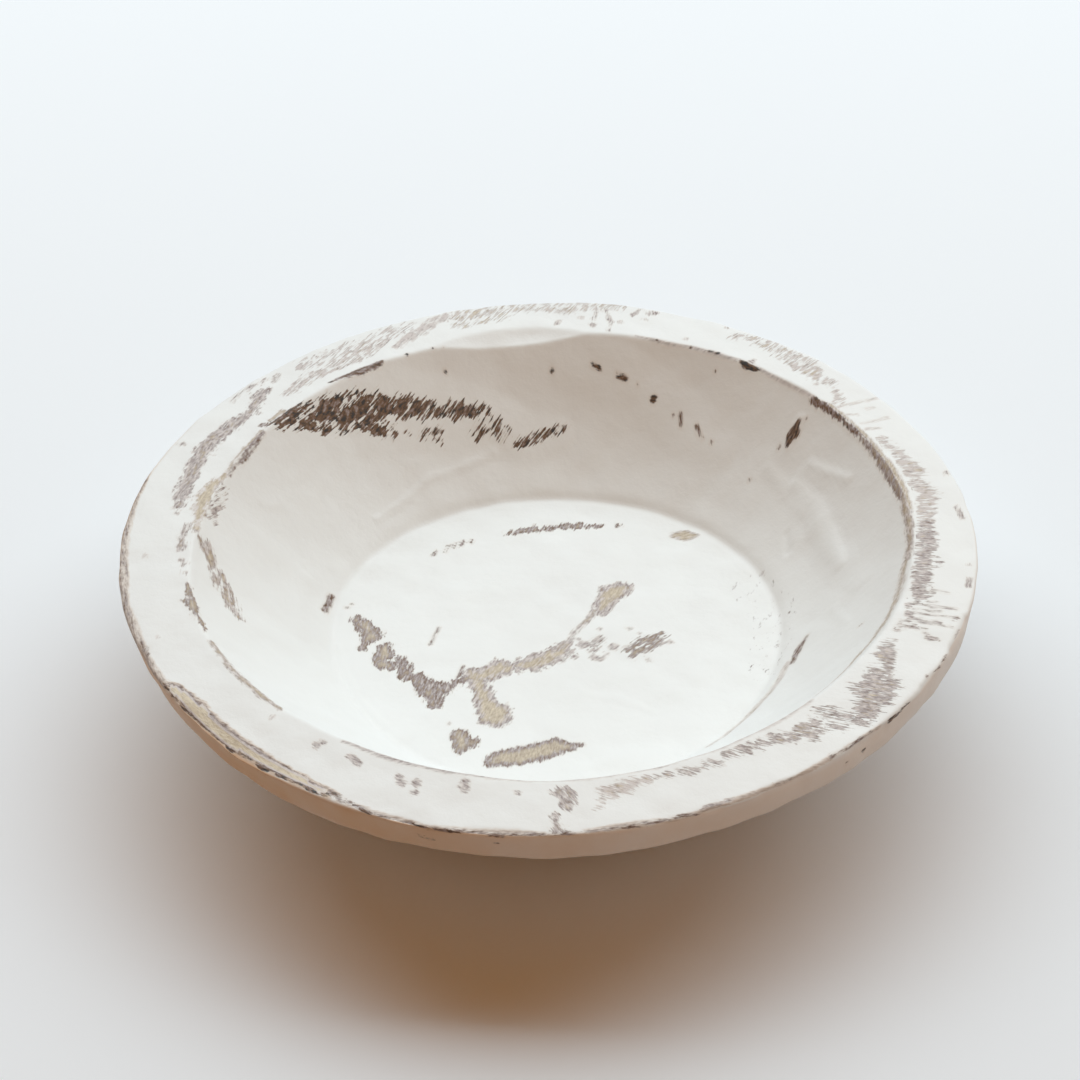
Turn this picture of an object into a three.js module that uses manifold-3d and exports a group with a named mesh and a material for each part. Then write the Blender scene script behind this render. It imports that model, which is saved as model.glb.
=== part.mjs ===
// A round bowl hewn and carved from one block of wood, with a wide flat rim.
// Millimetres, +Z up. The origin is the centre of the flat foot.
import * as THREE from "three";
import { mergeVertices } from "three/addons/utils/BufferGeometryUtils.js";
import Module from "manifold-3d";

const wasm = await Module();
wasm.setup();

// Overall sizes
const RIM_DIAMETER = 283;
const BOWL_HEIGHT = 58;
const FOOT_DIAMETER = 172;

// Rim: a top face that falls a little towards its outer edge, above an upright side
const RIM_WIDTH = 23;
const RIM_FALL = 1;
const RIM_SIDE = 13;
const SIDE_TUCK = 2.5;
const EDGE_ROUND = 3.5;
const SIDE_ROUND = 2.5;

// Hollow: a flat floor, a cove and a gently bellied wall up to a softened lip
const FLOOR_DIAMETER = 153;
const FLOOR_THICKNESS = 14;
const FLOOR_COVE = 6;
const WALL_BELLY = 2;
const LIP_ROUND = 2.5;
const HOLLOW_SHIFT = 1.7;

// Hand work: how far the outlines wander from a circle, as waves round the bowl
const OUTER_LOBES = [
  { waves: 1, swing: 0.4, turn: 190 },
  { waves: 2, swing: 0.7, turn: -36 },
  { waves: 3, swing: 0.5, turn: 17 },
  { waves: 4, swing: 0.9, turn: -9 },
];
const LIP_LOBES = [
  { waves: 2, swing: 0.7, turn: 41 },
  { waves: 4, swing: 0.7, turn: 13 },
  { waves: 5, swing: 0.5, turn: -16 },
];
const FLOOR_LOBES = [
  { waves: 2, swing: 0.9, turn: -32 },
  { waves: 3, swing: 1.2, turn: 24 },
];

// Hewn flats: the outside below the rim is a ring of broad adze cuts of uneven bite
const FLAT_COUNT = 18;
const FLAT_SWAY = 3;
const FLAT_SWAY_PHASE = 2.4;
const FLAT_BITE = 1.2;
const FLAT_BITE_SPREAD = 0.5;
const FLAT_BITE_PHASE = 1.7;

// Worn bevel: one long cut along the front left of the rim's outer edge
const BEVEL_TURN = -136;
const BEVEL_WIDTH = 6;
const BEVEL_SLOPE = 31;

// Lip scoop: one shallow gouge cut along the back of the lip
const SCOOP_TURN = 95;
const SCOOP_REACH = 5;
const SCOOP_DROP = 3.3;
const SCOOP_RADIUS = 40;
const SCOOP_STRETCH = 1.8;

// Fineness of the curves, and how far a cutter stands clear of what it cuts
const STEPS_AROUND = 96;
const STEPS_PER_ROUND = 4;
const STEPS_PER_WALL = 8;
const CUT_CLEARANCE = 10;
const MERGE_DISTANCE = 1e-3;

// Places that follow from the sizes
const rimRadius = RIM_DIAMETER / 2;
const footRadius = FOOT_DIAMETER / 2;
const lipRadius = rimRadius - RIM_WIDTH;
const floorRadius = FLOOR_DIAMETER / 2;
const edgeHeight = BOWL_HEIGHT - RIM_FALL;
const sideFoot = new THREE.Vector2(rimRadius - SIDE_TUCK, edgeHeight - RIM_SIDE);
const floorCorner = new THREE.Vector2(floorRadius, FLOOR_THICKNESS);
const lipCorner = new THREE.Vector2(lipRadius, BOWL_HEIGHT);

/** A direction in the plan, from its angle in degrees. */
function planDirection(degrees) {
  const angle = THREE.MathUtils.degToRad(degrees);
  return new THREE.Vector3(Math.cos(angle), Math.sin(angle), 0);
}

/** The point on the way from one profile point to another, a given length along. */
function along(from, to, length) {
  const step = to.clone().sub(from);
  return from.clone().addScaledVector(step.normalize(), length);
}

/** Adds a rounded corner to a profile: a curve that leaves each side a given length from the corner. */
function roundCorner(points, before, corner, after, length) {
  const start = along(corner, before, length);
  const end = along(corner, after, length);
  const curve = new THREE.QuadraticBezierCurve(start, corner, end);
  points.push(...curve.getPoints(STEPS_PER_ROUND));
}

/** A closed three.js geometry as a solid that can be cut. */
function solidOf(geometry) {
  const bare = geometry.clone();
  bare.deleteAttribute("normal");
  bare.deleteAttribute("uv");
  const merged = mergeVertices(bare, MERGE_DISTANCE);
  const index = merged.index.array;
  const triangles = [];
  for (let i = 0; i < index.length; i += 3) {
    const [a, b, c] = index.slice(i, i + 3);
    if (a !== b && b !== c && c !== a) {
      triangles.push(a, b, c);
    }
  }
  const vertProperties = new Float32Array(merged.attributes.position.array);
  const triVerts = new Uint32Array(triangles);
  return new wasm.Manifold(new wasm.Mesh({ numProp: 3, vertProperties, triVerts }));
}

/** A cut solid as a three.js geometry with flat faces. */
function geometryOf(solid) {
  const mesh = solid.getMesh();
  const geometry = new THREE.BufferGeometry();
  geometry.setAttribute("position", new THREE.BufferAttribute(mesh.vertProperties, 3));
  geometry.setIndex(new THREE.BufferAttribute(mesh.triVerts, 1));
  const faceted = geometry.toNonIndexed();
  faceted.computeVertexNormals();
  return faceted;
}

/** How far an outline with these lobes stands out from its circle, at an angle in radians. */
function lobeSwing(lobes, angle) {
  return lobes.reduce((sum, { waves, swing, turn }) => {
    const phase = waves * (angle - THREE.MathUtils.degToRad(turn));
    return sum + swing * Math.cos(phase);
  }, 0);
}

/** A profile turned about Z, whose circles then wander: swingAt gives how far, from radius and angle. */
function handTurned(profile, swingAt) {
  const geometry = new THREE.LatheGeometry(profile, STEPS_AROUND);
  geometry.rotateX(Math.PI / 2);
  const position = geometry.getAttribute("position");
  const point = new THREE.Vector3();
  for (let i = 0; i < position.count; i += 1) {
    point.fromBufferAttribute(position, i);
    const radius = Math.hypot(point.x, point.y);
    if (radius > 0) {
      const stretch = 1 + swingAt(radius, Math.atan2(point.y, point.x)) / radius;
      position.setXY(i, point.x * stretch, point.y * stretch);
    }
  }
  return solidOf(geometry);
}

/** The solid blank: foot, sloping outside, upright rim side and flat top. */
function blank() {
  const footCorner = new THREE.Vector2(footRadius, 0);
  const edgeCorner = new THREE.Vector2(rimRadius, edgeHeight);
  const points = [new THREE.Vector2(0, 0), footCorner];
  roundCorner(points, footCorner, sideFoot, edgeCorner, SIDE_ROUND);
  roundCorner(points, sideFoot, edgeCorner, lipCorner, EDGE_ROUND);
  points.push(lipCorner);
  points.push(new THREE.Vector2(0, BOWL_HEIGHT));
  return handTurned(points, (radius, angle) => (lobeSwing(OUTER_LOBES, angle) * radius) / rimRadius);
}

/** A large box whose one face is the plane through a point, and which lies wholly outside it. */
function planeCutter(point, outward) {
  const size = RIM_DIAMETER;
  const geometry = new THREE.BoxGeometry(size, size, size);
  geometry.translate(0, 0, size / 2);
  const turn = new THREE.Quaternion().setFromUnitVectors(new THREE.Vector3(0, 0, 1), outward);
  geometry.applyQuaternion(turn);
  geometry.translate(point.x, point.y, point.z);
  return solidOf(geometry);
}

/** Hews the flats: each plane follows the slope of the outside and bites a little into it. */
function hewFlats(body) {
  const run = sideFoot.x - footRadius;
  const slope = Math.atan2(run, sideFoot.y);
  let hewn = body;
  for (let i = 0; i < FLAT_COUNT; i += 1) {
    const angle = (360 * i) / FLAT_COUNT + FLAT_SWAY * Math.sin(FLAT_SWAY_PHASE * i);
    const bite = FLAT_BITE + FLAT_BITE_SPREAD * Math.sin(FLAT_BITE_PHASE * i);
    const direction = planDirection(angle);
    const point = direction.clone().multiplyScalar(footRadius - bite);
    const outward = direction.multiplyScalar(Math.cos(slope)).setZ(-Math.sin(slope));
    hewn = hewn.subtract(planeCutter(point, outward));
  }
  return hewn;
}

/** Cuts the worn bevel: a plane that leaves the rim's top face and slopes down to its side. */
function cutBevel(body) {
  const slope = THREE.MathUtils.degToRad(BEVEL_SLOPE);
  const direction = planDirection(BEVEL_TURN);
  const point = direction.clone().multiplyScalar(rimRadius - BEVEL_WIDTH).setZ(edgeHeight);
  const outward = direction.multiplyScalar(Math.sin(slope)).setZ(Math.cos(slope));
  return body.subtract(planeCutter(point, outward));
}

/** How far the hollow wanders: by its floor's lobes up to the floor's edge, then more and more by the lip's. */
function hollowSwing(radius, angle) {
  const atFloor = lobeSwing(FLOOR_LOBES, angle) * Math.min(radius / floorRadius, 1);
  const share = THREE.MathUtils.clamp((radius - floorRadius) / (lipRadius - floorRadius), 0, 1);
  return THREE.MathUtils.lerp(atFloor, lobeSwing(LIP_LOBES, angle), share);
}

/** The hollow, as the solid that carving takes out. It runs up past the rim. */
function hollow() {
  const onRim = new THREE.Vector2(rimRadius, edgeHeight);
  const top = BOWL_HEIGHT + CUT_CLEARANCE;
  const points = [new THREE.Vector2(0, FLOOR_THICKNESS)];
  const wallStart = along(floorCorner, lipCorner, FLOOR_COVE);
  const wallEnd = along(lipCorner, floorCorner, LIP_ROUND);
  roundCorner(points, points[0], floorCorner, lipCorner, FLOOR_COVE);
  const belly = wallStart.clone().lerp(wallEnd, 0.5);
  const outward = wallEnd.clone().sub(wallStart).normalize();
  belly.add(new THREE.Vector2(outward.y, -outward.x).multiplyScalar(2 * WALL_BELLY));
  const wall = new THREE.QuadraticBezierCurve(wallStart, belly, wallEnd);
  points.push(...wall.getPoints(STEPS_PER_WALL).slice(1, -1));
  roundCorner(points, floorCorner, lipCorner, onRim, LIP_ROUND);
  points.push(new THREE.Vector2(points.at(-1).x, top));
  points.push(new THREE.Vector2(0, top));
  return handTurned(points, hollowSwing).translate([HOLLOW_SHIFT, 0, 0]);
}

/**
 * The lip scoop, as a ball stretched along the lip. Across the lip its circle passes through a point
 * on the rim's top, the reach away from the lip, and a point on the wall, the drop below the lip.
 */
function scoop() {
  const onTop = new THREE.Vector2(lipRadius + SCOOP_REACH, BOWL_HEIGHT);
  const wallLean = (lipRadius - floorRadius) / (BOWL_HEIGHT - FLOOR_THICKNESS);
  const onWall = new THREE.Vector2(lipRadius - SCOOP_DROP * wallLean, BOWL_HEIGHT - SCOOP_DROP);
  const middle = onTop.clone().lerp(onWall, 0.5);
  const chord = onTop.clone().sub(onWall);
  const rise = Math.sqrt(SCOOP_RADIUS ** 2 - (chord.length() / 2) ** 2);
  const inward = new THREE.Vector2(-chord.y, chord.x).normalize();
  const centre = middle.addScaledVector(inward, rise);
  const geometry = new THREE.SphereGeometry(SCOOP_RADIUS, STEPS_AROUND, STEPS_AROUND / 2);
  geometry.rotateX(Math.PI / 2);
  geometry.scale(1, SCOOP_STRETCH, 1);
  geometry.translate(centre.x, 0, centre.y);
  geometry.rotateZ(THREE.MathUtils.degToRad(SCOOP_TURN));
  return solidOf(geometry);
}

/** The bowl: a hewn blank with its edge worn, its hollow carved and its lip scooped. */
function bowlBody() {
  const hewn = cutBevel(hewFlats(blank()));
  const carved = hewn.subtract(hollow()).subtract(scoop());
  const paintedWood = new THREE.MeshStandardMaterial({
    color: "#ece7df",
    roughness: 0.7,
    metalness: 0,
  });
  const mesh = new THREE.Mesh(geometryOf(carved), paintedWood);
  mesh.name = "bowl_body";
  return mesh;
}

const bowl = new THREE.Group();
bowl.add(bowlBody());

export default bowl;
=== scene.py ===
"""A round bowl carved from one block of wood, painted white and rubbed through to its stain.

The bowl is one closed surface, worked out in millimetres on rings of points and put into the
mesh in metres. Its wear is a set of rubs, placed on the bowl's plan with the outside folded out
flat round it, and a finish of paint over stain over bare wood reads that wear.
"""
import logging
import math
from dataclasses import dataclass
from enum import Enum
from typing import ClassVar, Optional, Union

import bpy
import numpy as np
from mathutils import Matrix, Vector


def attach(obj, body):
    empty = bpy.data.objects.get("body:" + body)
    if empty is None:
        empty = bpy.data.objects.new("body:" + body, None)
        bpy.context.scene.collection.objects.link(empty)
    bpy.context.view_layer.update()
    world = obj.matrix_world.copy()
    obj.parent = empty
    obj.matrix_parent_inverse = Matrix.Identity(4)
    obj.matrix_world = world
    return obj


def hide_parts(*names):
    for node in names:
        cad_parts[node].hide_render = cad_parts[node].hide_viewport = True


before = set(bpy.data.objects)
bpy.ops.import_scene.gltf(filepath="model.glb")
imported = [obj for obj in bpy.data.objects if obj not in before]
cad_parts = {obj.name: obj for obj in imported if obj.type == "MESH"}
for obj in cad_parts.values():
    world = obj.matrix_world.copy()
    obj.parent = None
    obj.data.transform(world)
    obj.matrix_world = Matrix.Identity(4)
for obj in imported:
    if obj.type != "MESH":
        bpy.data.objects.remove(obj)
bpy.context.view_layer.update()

log = logging.getLogger("bowl")

Array = np.ndarray
Path = tuple[tuple[float, float, float], ...]
Tree = bpy.types.NodeTree
Socket = bpy.types.NodeSocket
SocketValue = Union[float, tuple, Socket]

MM = 0.001
HILL_LATTICE = 64
SHORTEST_LEG = 1e-9


def linear(hex_colour: str) -> tuple[float, float, float, float]:
    """Turns an sRGB hex colour into linear red, green, blue and full alpha.

    Args:
        hex_colour: six hex digits with a leading hash sign.

    Returns:
        The linear colour that a shader socket takes.
    """
    encoded = np.array([int(hex_colour[i:i + 2], 16) for i in (1, 3, 5)]) / 255
    plain = np.where(encoded <= 0.04045, encoded / 12.92, ((encoded + 0.055) / 1.055) ** 2.4)
    return (*plain.tolist(), 1.0)


def add_node(tree: Tree, kind: str, inputs: dict[Union[str, int], SocketValue],
             output: Union[str, int] = 0, **settings: object) -> Optional[Socket]:
    """Adds one node with its settings and links.

    Args:
        tree: the node tree that gets the node.
        kind: the node's type name.
        inputs: for each input socket, a plain value or the socket that feeds it.
        output: the output socket to hand back.
        settings: properties of the node itself.

    Returns:
        The chosen output socket, ready to feed another node, or none after the last node.
    """
    node = tree.nodes.new(kind)
    for name, value in settings.items():
        setattr(node, name, value)
    for name, value in inputs.items():
        if isinstance(value, Socket):
            tree.links.new(value, node.inputs[name])
        else:
            node.inputs[name].default_value = value
    return node.outputs[output] if len(node.outputs) else None


def soft_min(first: Array, second: Array, blend: float) -> Array:
    """The lower of two heights, with the corner between them rounded over the blend length."""
    share = np.clip(0.5 + 0.5 * (second - first) / blend, 0, 1)
    return second + (first - second) * share - blend * share * (1 - share)


def soft_max(first: Array, second: Array, blend: float) -> Array:
    """The higher of two heights, with the corner between them rounded over the blend length."""
    return -soft_min(-first, -second, blend)


def hills(plan: Array, cell: float, seed: int) -> Array:
    """Smooth seeded hills: random heights on a square lattice, blended by smooth steps between.

    Args:
        plan: points, whose last axis holds x and y in millimetres.
        cell: the lattice spacing in millimetres.
        seed: the seed of the lattice.

    Returns:
        A height between -1 and 1 for each point.
    """
    lattice = np.random.default_rng(seed).uniform(-1, 1, (HILL_LATTICE, HILL_LATTICE))
    grid = plan / cell
    corner = np.floor(grid).astype(int)
    step = grid - corner
    step = step * step * (3 - 2 * step)
    column, row = corner[..., 0] % HILL_LATTICE, corner[..., 1] % HILL_LATTICE
    right, above = (column + 1) % HILL_LATTICE, (row + 1) % HILL_LATTICE
    low = lattice[column, row] * (1 - step[..., 0]) + lattice[right, row] * step[..., 0]
    high = lattice[column, above] * (1 - step[..., 0]) + lattice[right, above] * step[..., 0]
    return low * (1 - step[..., 1]) + high * step[..., 1]


def inside_path(plan: Array, path: Path) -> Array:
    """How far each point lies inside a stroke whose half width changes along it.

    For each leg of the path the nearest place on the leg is found, and the distance to it is
    taken from the half width there; the best leg counts. A path of one point is a round spot.

    Args:
        plan: points as rows of x and y in millimetres.
        path: x, y and half width of each corner of the stroke.

    Returns:
        The depth inside the stroke in millimetres, negative outside it.
    """
    best = np.full(len(plan), -np.inf)
    for start, end in zip(path, path[1:] or path):
        origin, leg = np.array(start[:2]), np.subtract(end[:2], start[:2])
        square = max(float(leg @ leg), SHORTEST_LEG)
        share = np.clip((plan - origin) @ leg / square, 0, 1)
        distance = np.hypot(*(plan - origin - share[:, None] * leg).T)
        best = np.maximum(best, start[2] + share * (end[2] - start[2]) - distance)
    return best


def around(*corners: tuple[float, float, float]) -> Path:
    """A stroke given round the rim: the angle in degrees, radius and half width of each corner."""
    return tuple((radius * math.cos(math.radians(turn)), radius * math.sin(math.radians(turn)), half)
                 for turn, radius, half in corners)


@dataclass(frozen=True)
class Lobe:
    """One wave by which a hand-cut outline wanders from its circle."""

    waves: int
    swing: float
    turn: float


def wander(lobes: tuple[Lobe, ...], angle: Array) -> Array:
    """How far an outline stands out from its circle: the sum of its lobes' cosines, in millimetres."""
    return sum(lobe.swing * np.cos(lobe.waves * (angle - math.radians(lobe.turn))) for lobe in lobes)


@dataclass(frozen=True)
class Ridge:
    """A crest left by the gouge: its path, whose half widths are its flanks' reach, and its height.

    A groove is a ridge of negative height.
    """

    path: Path
    height: float


@dataclass(frozen=True)
class Sheet:
    """Rings of surface points, from the inside out: places, and the plan with the outside folded out."""

    points: Array
    plan: Array


@dataclass
class BowlForm:
    """The carved shape, in millimetres and degrees, with the part's origin at the centre of its foot.

    A blend is the length over which the corner between two surfaces is rounded. Rings, rows and
    steps count points along the section, and columns count those round it. A flat only cuts where
    the cosine of the turn away from it is above flat_view.
    """

    rim_radius: float = 141.5
    height: float = 58.0
    foot_radius: float = 86.0
    rim_width: float = 23.0
    rim_fall: float = 1.0
    rim_side: float = 13.0
    side_tuck: float = 2.5
    edge_round: float = 2.4
    side_round: float = 2.5
    foot_round: float = 1.5
    floor_radius: float = 76.5
    floor_thickness: float = 14.0
    wall_belly: float = 2.8
    cove_blend: float = 2.0
    lip_blend: float = 1.2
    crease_depth: float = 0.3
    crease_width: float = 1.4
    heel_rise: float = 1.3
    heel_turn: float = 60.0
    heel_start: float = 1.5
    heel_end: float = 9.0
    hollow_shift: float = 1.7
    flat_count: int = 18
    flat_sway: float = 3.0
    flat_sway_phase: float = 2.4
    flat_bite: float = 1.2
    flat_bite_spread: float = 0.5
    flat_bite_phase: float = 1.7
    flat_blend: float = 0.5
    flat_view: float = 0.5
    bevel_turn: float = -136.0
    bevel_width: float = 6.0
    bevel_slope: float = 31.0
    bevel_blend: float = 0.7
    scoop_turn: float = 95.0
    scoop_reach: float = 5.0
    scoop_drop: float = 3.3
    scoop_radius: float = 40.0
    scoop_stretch: float = 1.8
    scoop_blend: float = 0.5
    facet_count: int = 37
    facet_seed: int = 5
    facet_jitter: float = 0.3
    facet_rise: tuple[float, float] = (-0.3, 1.1)
    flare: float = 1.9
    flare_turn: float = -38.0
    flare_spread: float = 27.0
    broad_hill: float = 0.34
    broad_cell: float = 26.0
    broad_seed: int = 3
    small_hill: float = 0.3
    small_cell: float = 8.0
    small_seed: int = 4
    hill_sink: float = 0.55
    columns: int = 740
    pole_radius: float = 1.2
    least_radius: float = 1.0
    floor_rings: int = 60
    floor_inset: float = 5.0
    cove_reach: float = 6.0
    lip_inside: float = 6.0
    lip_outside: float = 3.0
    upper_rings: tuple[int, ...] = (13, 28, 18, 17)
    edge_steps: int = 6
    side_rows: int = 3
    side_steps: int = 5
    wall_rows: int = 8
    foot_steps: int = 3
    foot_rows: int = 3
    outer_lobes: tuple[Lobe, ...] = (
        Lobe(1, 0.4, 190), Lobe(2, 0.7, -36), Lobe(3, 0.5, 17), Lobe(4, 0.9, -9))
    lip_lobes: tuple[Lobe, ...] = (Lobe(2, 0.7, 41), Lobe(4, 0.7, 13), Lobe(5, 0.5, -16))
    floor_lobes: tuple[Lobe, ...] = (Lobe(2, 0.9, -32), Lobe(3, 1.2, 24))
    ridges: tuple[Ridge, ...] = (
        Ridge(((-94, 64, 9), (-82, 77, 10), (-66, 87, 11), (-50, 93, 11), (-35, 96, 10), (-20, 96, 9),
               (-5, 92, 8), (6, 93, 6)), 0.9),
        Ridge(((8, 110, 6), (20, 108.5, 8), (30, 104, 9), (40.5, 96.5, 9), (50, 88.5, 9), (57, 82, 8),
               (64, 75, 6)), 0.8),
        Ridge(((93, 30, 4), (97, 15, 6), (101, 3, 6), (104, -8, 4)), 0.5),
        Ridge(((86, 63.5, 2), (91, 68.5, 2.5)), 0.5),
        Ridge(((79, 62, 2), (85, 51, 3), (89, 39, 2)), 0.45),
        Ridge(((93, 54, 1.3), (99, 46, 1.5), (105, 38, 1.3)), 0.8),
        Ridge(((90, 54, 1.3), (96, 46, 1.5), (101, 39, 1.3)), 0.3),
        Ridge(((88, 51, 2.5), (93, 38, 4), (96, 25, 4), (99, 8, 3)), 0.85),
        Ridge(((84, 36, 1.5), (84, 29, 1.8)), -0.5),
        Ridge(((95, -10, 1.2), (98, -25, 1.6)), 0.4),
        Ridge(((-61, 58, 1.2), (-42, 77, 1.3), (-18, 88, 1.2)), 0.5),
        Ridge(((-92, 54, 1.5), (-87, 57, 2), (-79, 68, 2)), 0.15),
        Ridge(((-76, 54, 3), (-76, 44, 4), (-75, 33, 3)), 0.2),
        Ridge(((10, -31, 2), (22, -35, 2.5), (33, -42, 2)), 0.15),
        Ridge(((8, -68, 2), (17, -66, 2.5), (25, -60, 2)), 0.15),
        Ridge(((-73, -3, 2), (-71, -15, 2.5), (-66, -30, 2.5), (-55, -45, 2)), 0.25),
        Ridge(((-84, 22, 3), (-86, 8, 3.5), (-84, -6, 3)), 0.3),
        Ridge(((-98, 38, 2), (-92, 44, 2.5)), 0.3),
        Ridge(around((-27, 142, 2.5), (-21, 142, 2.5)), -0.8),
        Ridge(around((-50, 142, 2), (-44, 143, 2)), -0.5),
        Ridge(around((-64, 141.5, 2.5), (-58, 142, 2)), -0.4),
        Ridge(around((-100, 141.5, 2), (-94, 142, 2.5)), -0.4),
        Ridge(around((-72, 141.3, 1.2), (-69.5, 141.5, 1.2)), -0.5),
        Ridge(around((-83, 141.6, 1.4), (-80, 141.6, 1.2)), -0.35),
        Ridge(around((-110, 140.8, 1.4), (-107, 141.3, 1.4)), -0.45),
        Ridge(around((-36, 141, 1.4), (-33, 141, 1.4)), -0.4),
        Ridge(around((-158.5, 140, 1.2), (-156, 140, 1.2)), -0.5),
        Ridge(((86, -16, 1.2), (80.5, -26, 2), (75, -33, 2), (70, -40, 2), (63, -48, 2),
               (55, -57, 1.4)), -0.6),
    )

    @property
    def lip_radius(self) -> float:
        """The radius of the lip's circle."""
        return self.rim_radius - self.rim_width

    def rim_outline(self, angle: Array) -> Array:
        """The outer edge's radius at each angle: its circle and its lobes."""
        return self.rim_radius + wander(self.outer_lobes, angle)

    def lip_outline(self, angle: Array) -> Array:
        """The lip's radius at each angle: its circle, moved to one side, and its lobes."""
        return self.lip_radius + self.hollow_shift * np.cos(angle) + wander(self.lip_lobes, angle)

    def floor_outline(self, angle: Array) -> Array:
        """The floor's radius at each angle: its circle, moved to one side, and its lobes."""
        return self.floor_radius + self.hollow_shift * np.cos(angle) + wander(self.floor_lobes, angle)

    def hollow_height(self, radius: Array, angle: Array) -> Array:
        """The carved hollow: the higher of a flat floor and a wall that sags a little as it climbs.

        With u the share of the way from the floor's outline to the lip's, the wall stands at
        floor + rise * u - 4 * belly * u * (1 - u). On one side a heel that swells and dies away
        makes it start steeper, and the corner at the floor is rounded, with a faint crease.

        Args:
            radius: distances from the centre.
            angle: the angle of each column.

        Returns:
            The height of the hollow's surface, which runs on above the lip.
        """
        floor, lip = self.floor_outline(angle), self.lip_outline(angle)
        share = (radius - floor) / (lip - floor)
        rise = self.height - self.floor_thickness
        sag = 4 * self.wall_belly * np.clip(share, 0, 1) * (1 - np.clip(share, 0, 1))
        wall = self.floor_thickness + rise * share - sag
        crease = self.crease_depth * np.exp(-((radius - floor) / self.crease_width) ** 2)
        past = np.maximum(radius - floor, 0)
        side = 0.5 + 0.5 * np.cos(angle - math.radians(self.heel_turn))
        heel = (1 - np.exp(-past / self.heel_start)) * np.exp(-past / self.heel_end)
        wall = wall + self.heel_rise * side * heel
        return soft_max(np.full_like(wall, self.floor_thickness), wall, self.cove_blend) - crease

    def scoop_height(self, plan: Array) -> Array:
        """The lower half of a ball, stretched along the lip, whose circle cuts the lip's corner.

        Across the lip the circle passes through a point on the rim's top, the reach away from the
        lip, and a point on the wall, the drop below it.

        Args:
            plan: points, whose last axis holds x and y.

        Returns:
            The height of the ball's underside, far up where the ball isn't.
        """
        rise = self.height - self.floor_thickness
        lean = (self.lip_radius - self.floor_radius) / rise
        on_top = np.array([self.lip_radius + self.scoop_reach, self.height])
        on_wall = np.array([self.lip_radius - self.scoop_drop * lean, self.height - self.scoop_drop])
        chord = on_top - on_wall
        lift = math.sqrt(self.scoop_radius ** 2 - chord @ chord / 4)
        inward = np.array([-chord[1], chord[0]]) / np.linalg.norm(chord)
        centre = (on_top + on_wall) / 2 + inward * lift
        turn = math.radians(self.scoop_turn)
        across = plan @ np.array([math.cos(turn), math.sin(turn)]) - centre[0]
        length = plan @ np.array([-math.sin(turn), math.cos(turn)]) / self.scoop_stretch
        room = self.scoop_radius ** 2 - across ** 2 - length ** 2
        return np.where(room > 0, centre[1] - np.sqrt(np.maximum(room, 0)), 2 * self.height)

    def bevel_height(self, plan: Array) -> Array:
        """A plane that leaves the rim's top a bevel's width from the edge and slopes down to its side."""
        turn, slope = math.radians(self.bevel_turn), math.radians(self.bevel_slope)
        across = plan @ np.array([math.cos(turn), math.sin(turn)])
        start = self.rim_radius - self.bevel_width
        return self.height - self.rim_fall - (across - start) * math.tan(slope)

    def top_height(self, radius: Array, angle: Array, plan: Array) -> Array:
        """The upper side: the lowest of the hollow, the rim's top, the scoop and the bevel.

        Args:
            radius: distances from the centre.
            angle: the angle of each column.
            plan: the same points as x and y.

        Returns:
            The height of each point.
        """
        lip, edge = self.lip_outline(angle), self.rim_outline(angle)
        fall = self.rim_fall * np.maximum((radius - lip) / (edge - lip), 0)
        height = soft_min(self.hollow_height(radius, angle), self.height - fall, self.lip_blend)
        height = soft_min(height, self.scoop_height(plan), self.scoop_blend)
        return soft_min(height, self.bevel_height(plan), self.bevel_blend)

    def tool_marks(self, plan: Array) -> Array:
        """How far the surface stands in or out of the plain shape, in millimetres along its normal.

        Broad hills and small ones, sunk below the plain shape, stand for the unevenness of hand
        work. With s the share of a ridge's reach, the ridge adds its height times s (2 - s).

        Args:
            plan: points of the folded-out plan, whose last axis holds x and y.

        Returns:
            The offset of each point.
        """
        flat = plan.reshape(-1, 2)
        broad = self.broad_hill * hills(flat, self.broad_cell, self.broad_seed)
        small = self.small_hill * hills(flat, self.small_cell, self.small_seed)
        offset = broad + small - self.hill_sink
        for ridge in self.ridges:
            reach = max(corner[2] for corner in ridge.path)
            share = np.clip(inside_path(flat, ridge.path) / reach, 0, 1)
            offset += ridge.height * share * (2 - share)
        return offset.reshape(plan.shape[:-1])

    def outside_profile(self) -> tuple[Array, Array]:
        """The outside's section, from the rim's top round its edge, down the side and wall to the foot.

        Each corner is a quadratic curve that leaves both of its sides a given length from it.

        Returns:
            The points as rows of radius and height, and each point's outward normal.
        """
        lip = np.array([self.lip_radius, self.height])
        edge = np.array([self.rim_radius, self.height - self.rim_fall])
        side = np.array([self.rim_radius - self.side_tuck, edge[1] - self.rim_side])
        foot = np.array([self.foot_radius, 0.0])
        middle = np.array([0.0, 0.0])

        def corner(before: Array, at: Array, after: Array, length: float, steps: int) -> Array:
            """A rounded corner: (1-t)^2 start + 2t(1-t) corner + t^2 end."""
            start = at + (before - at) / np.linalg.norm(before - at) * length
            end = at + (after - at) / np.linalg.norm(after - at) * length
            share = np.linspace(0, 1, steps)[:, None]
            return (1 - share) ** 2 * start + 2 * share * (1 - share) * at + share ** 2 * end

        def between(start: Array, end: Array, steps: int) -> Array:
            """Points strictly between two others, evenly spaced."""
            return start + (end - start) * np.linspace(0, 1, steps + 2)[1:-1, None]

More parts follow.
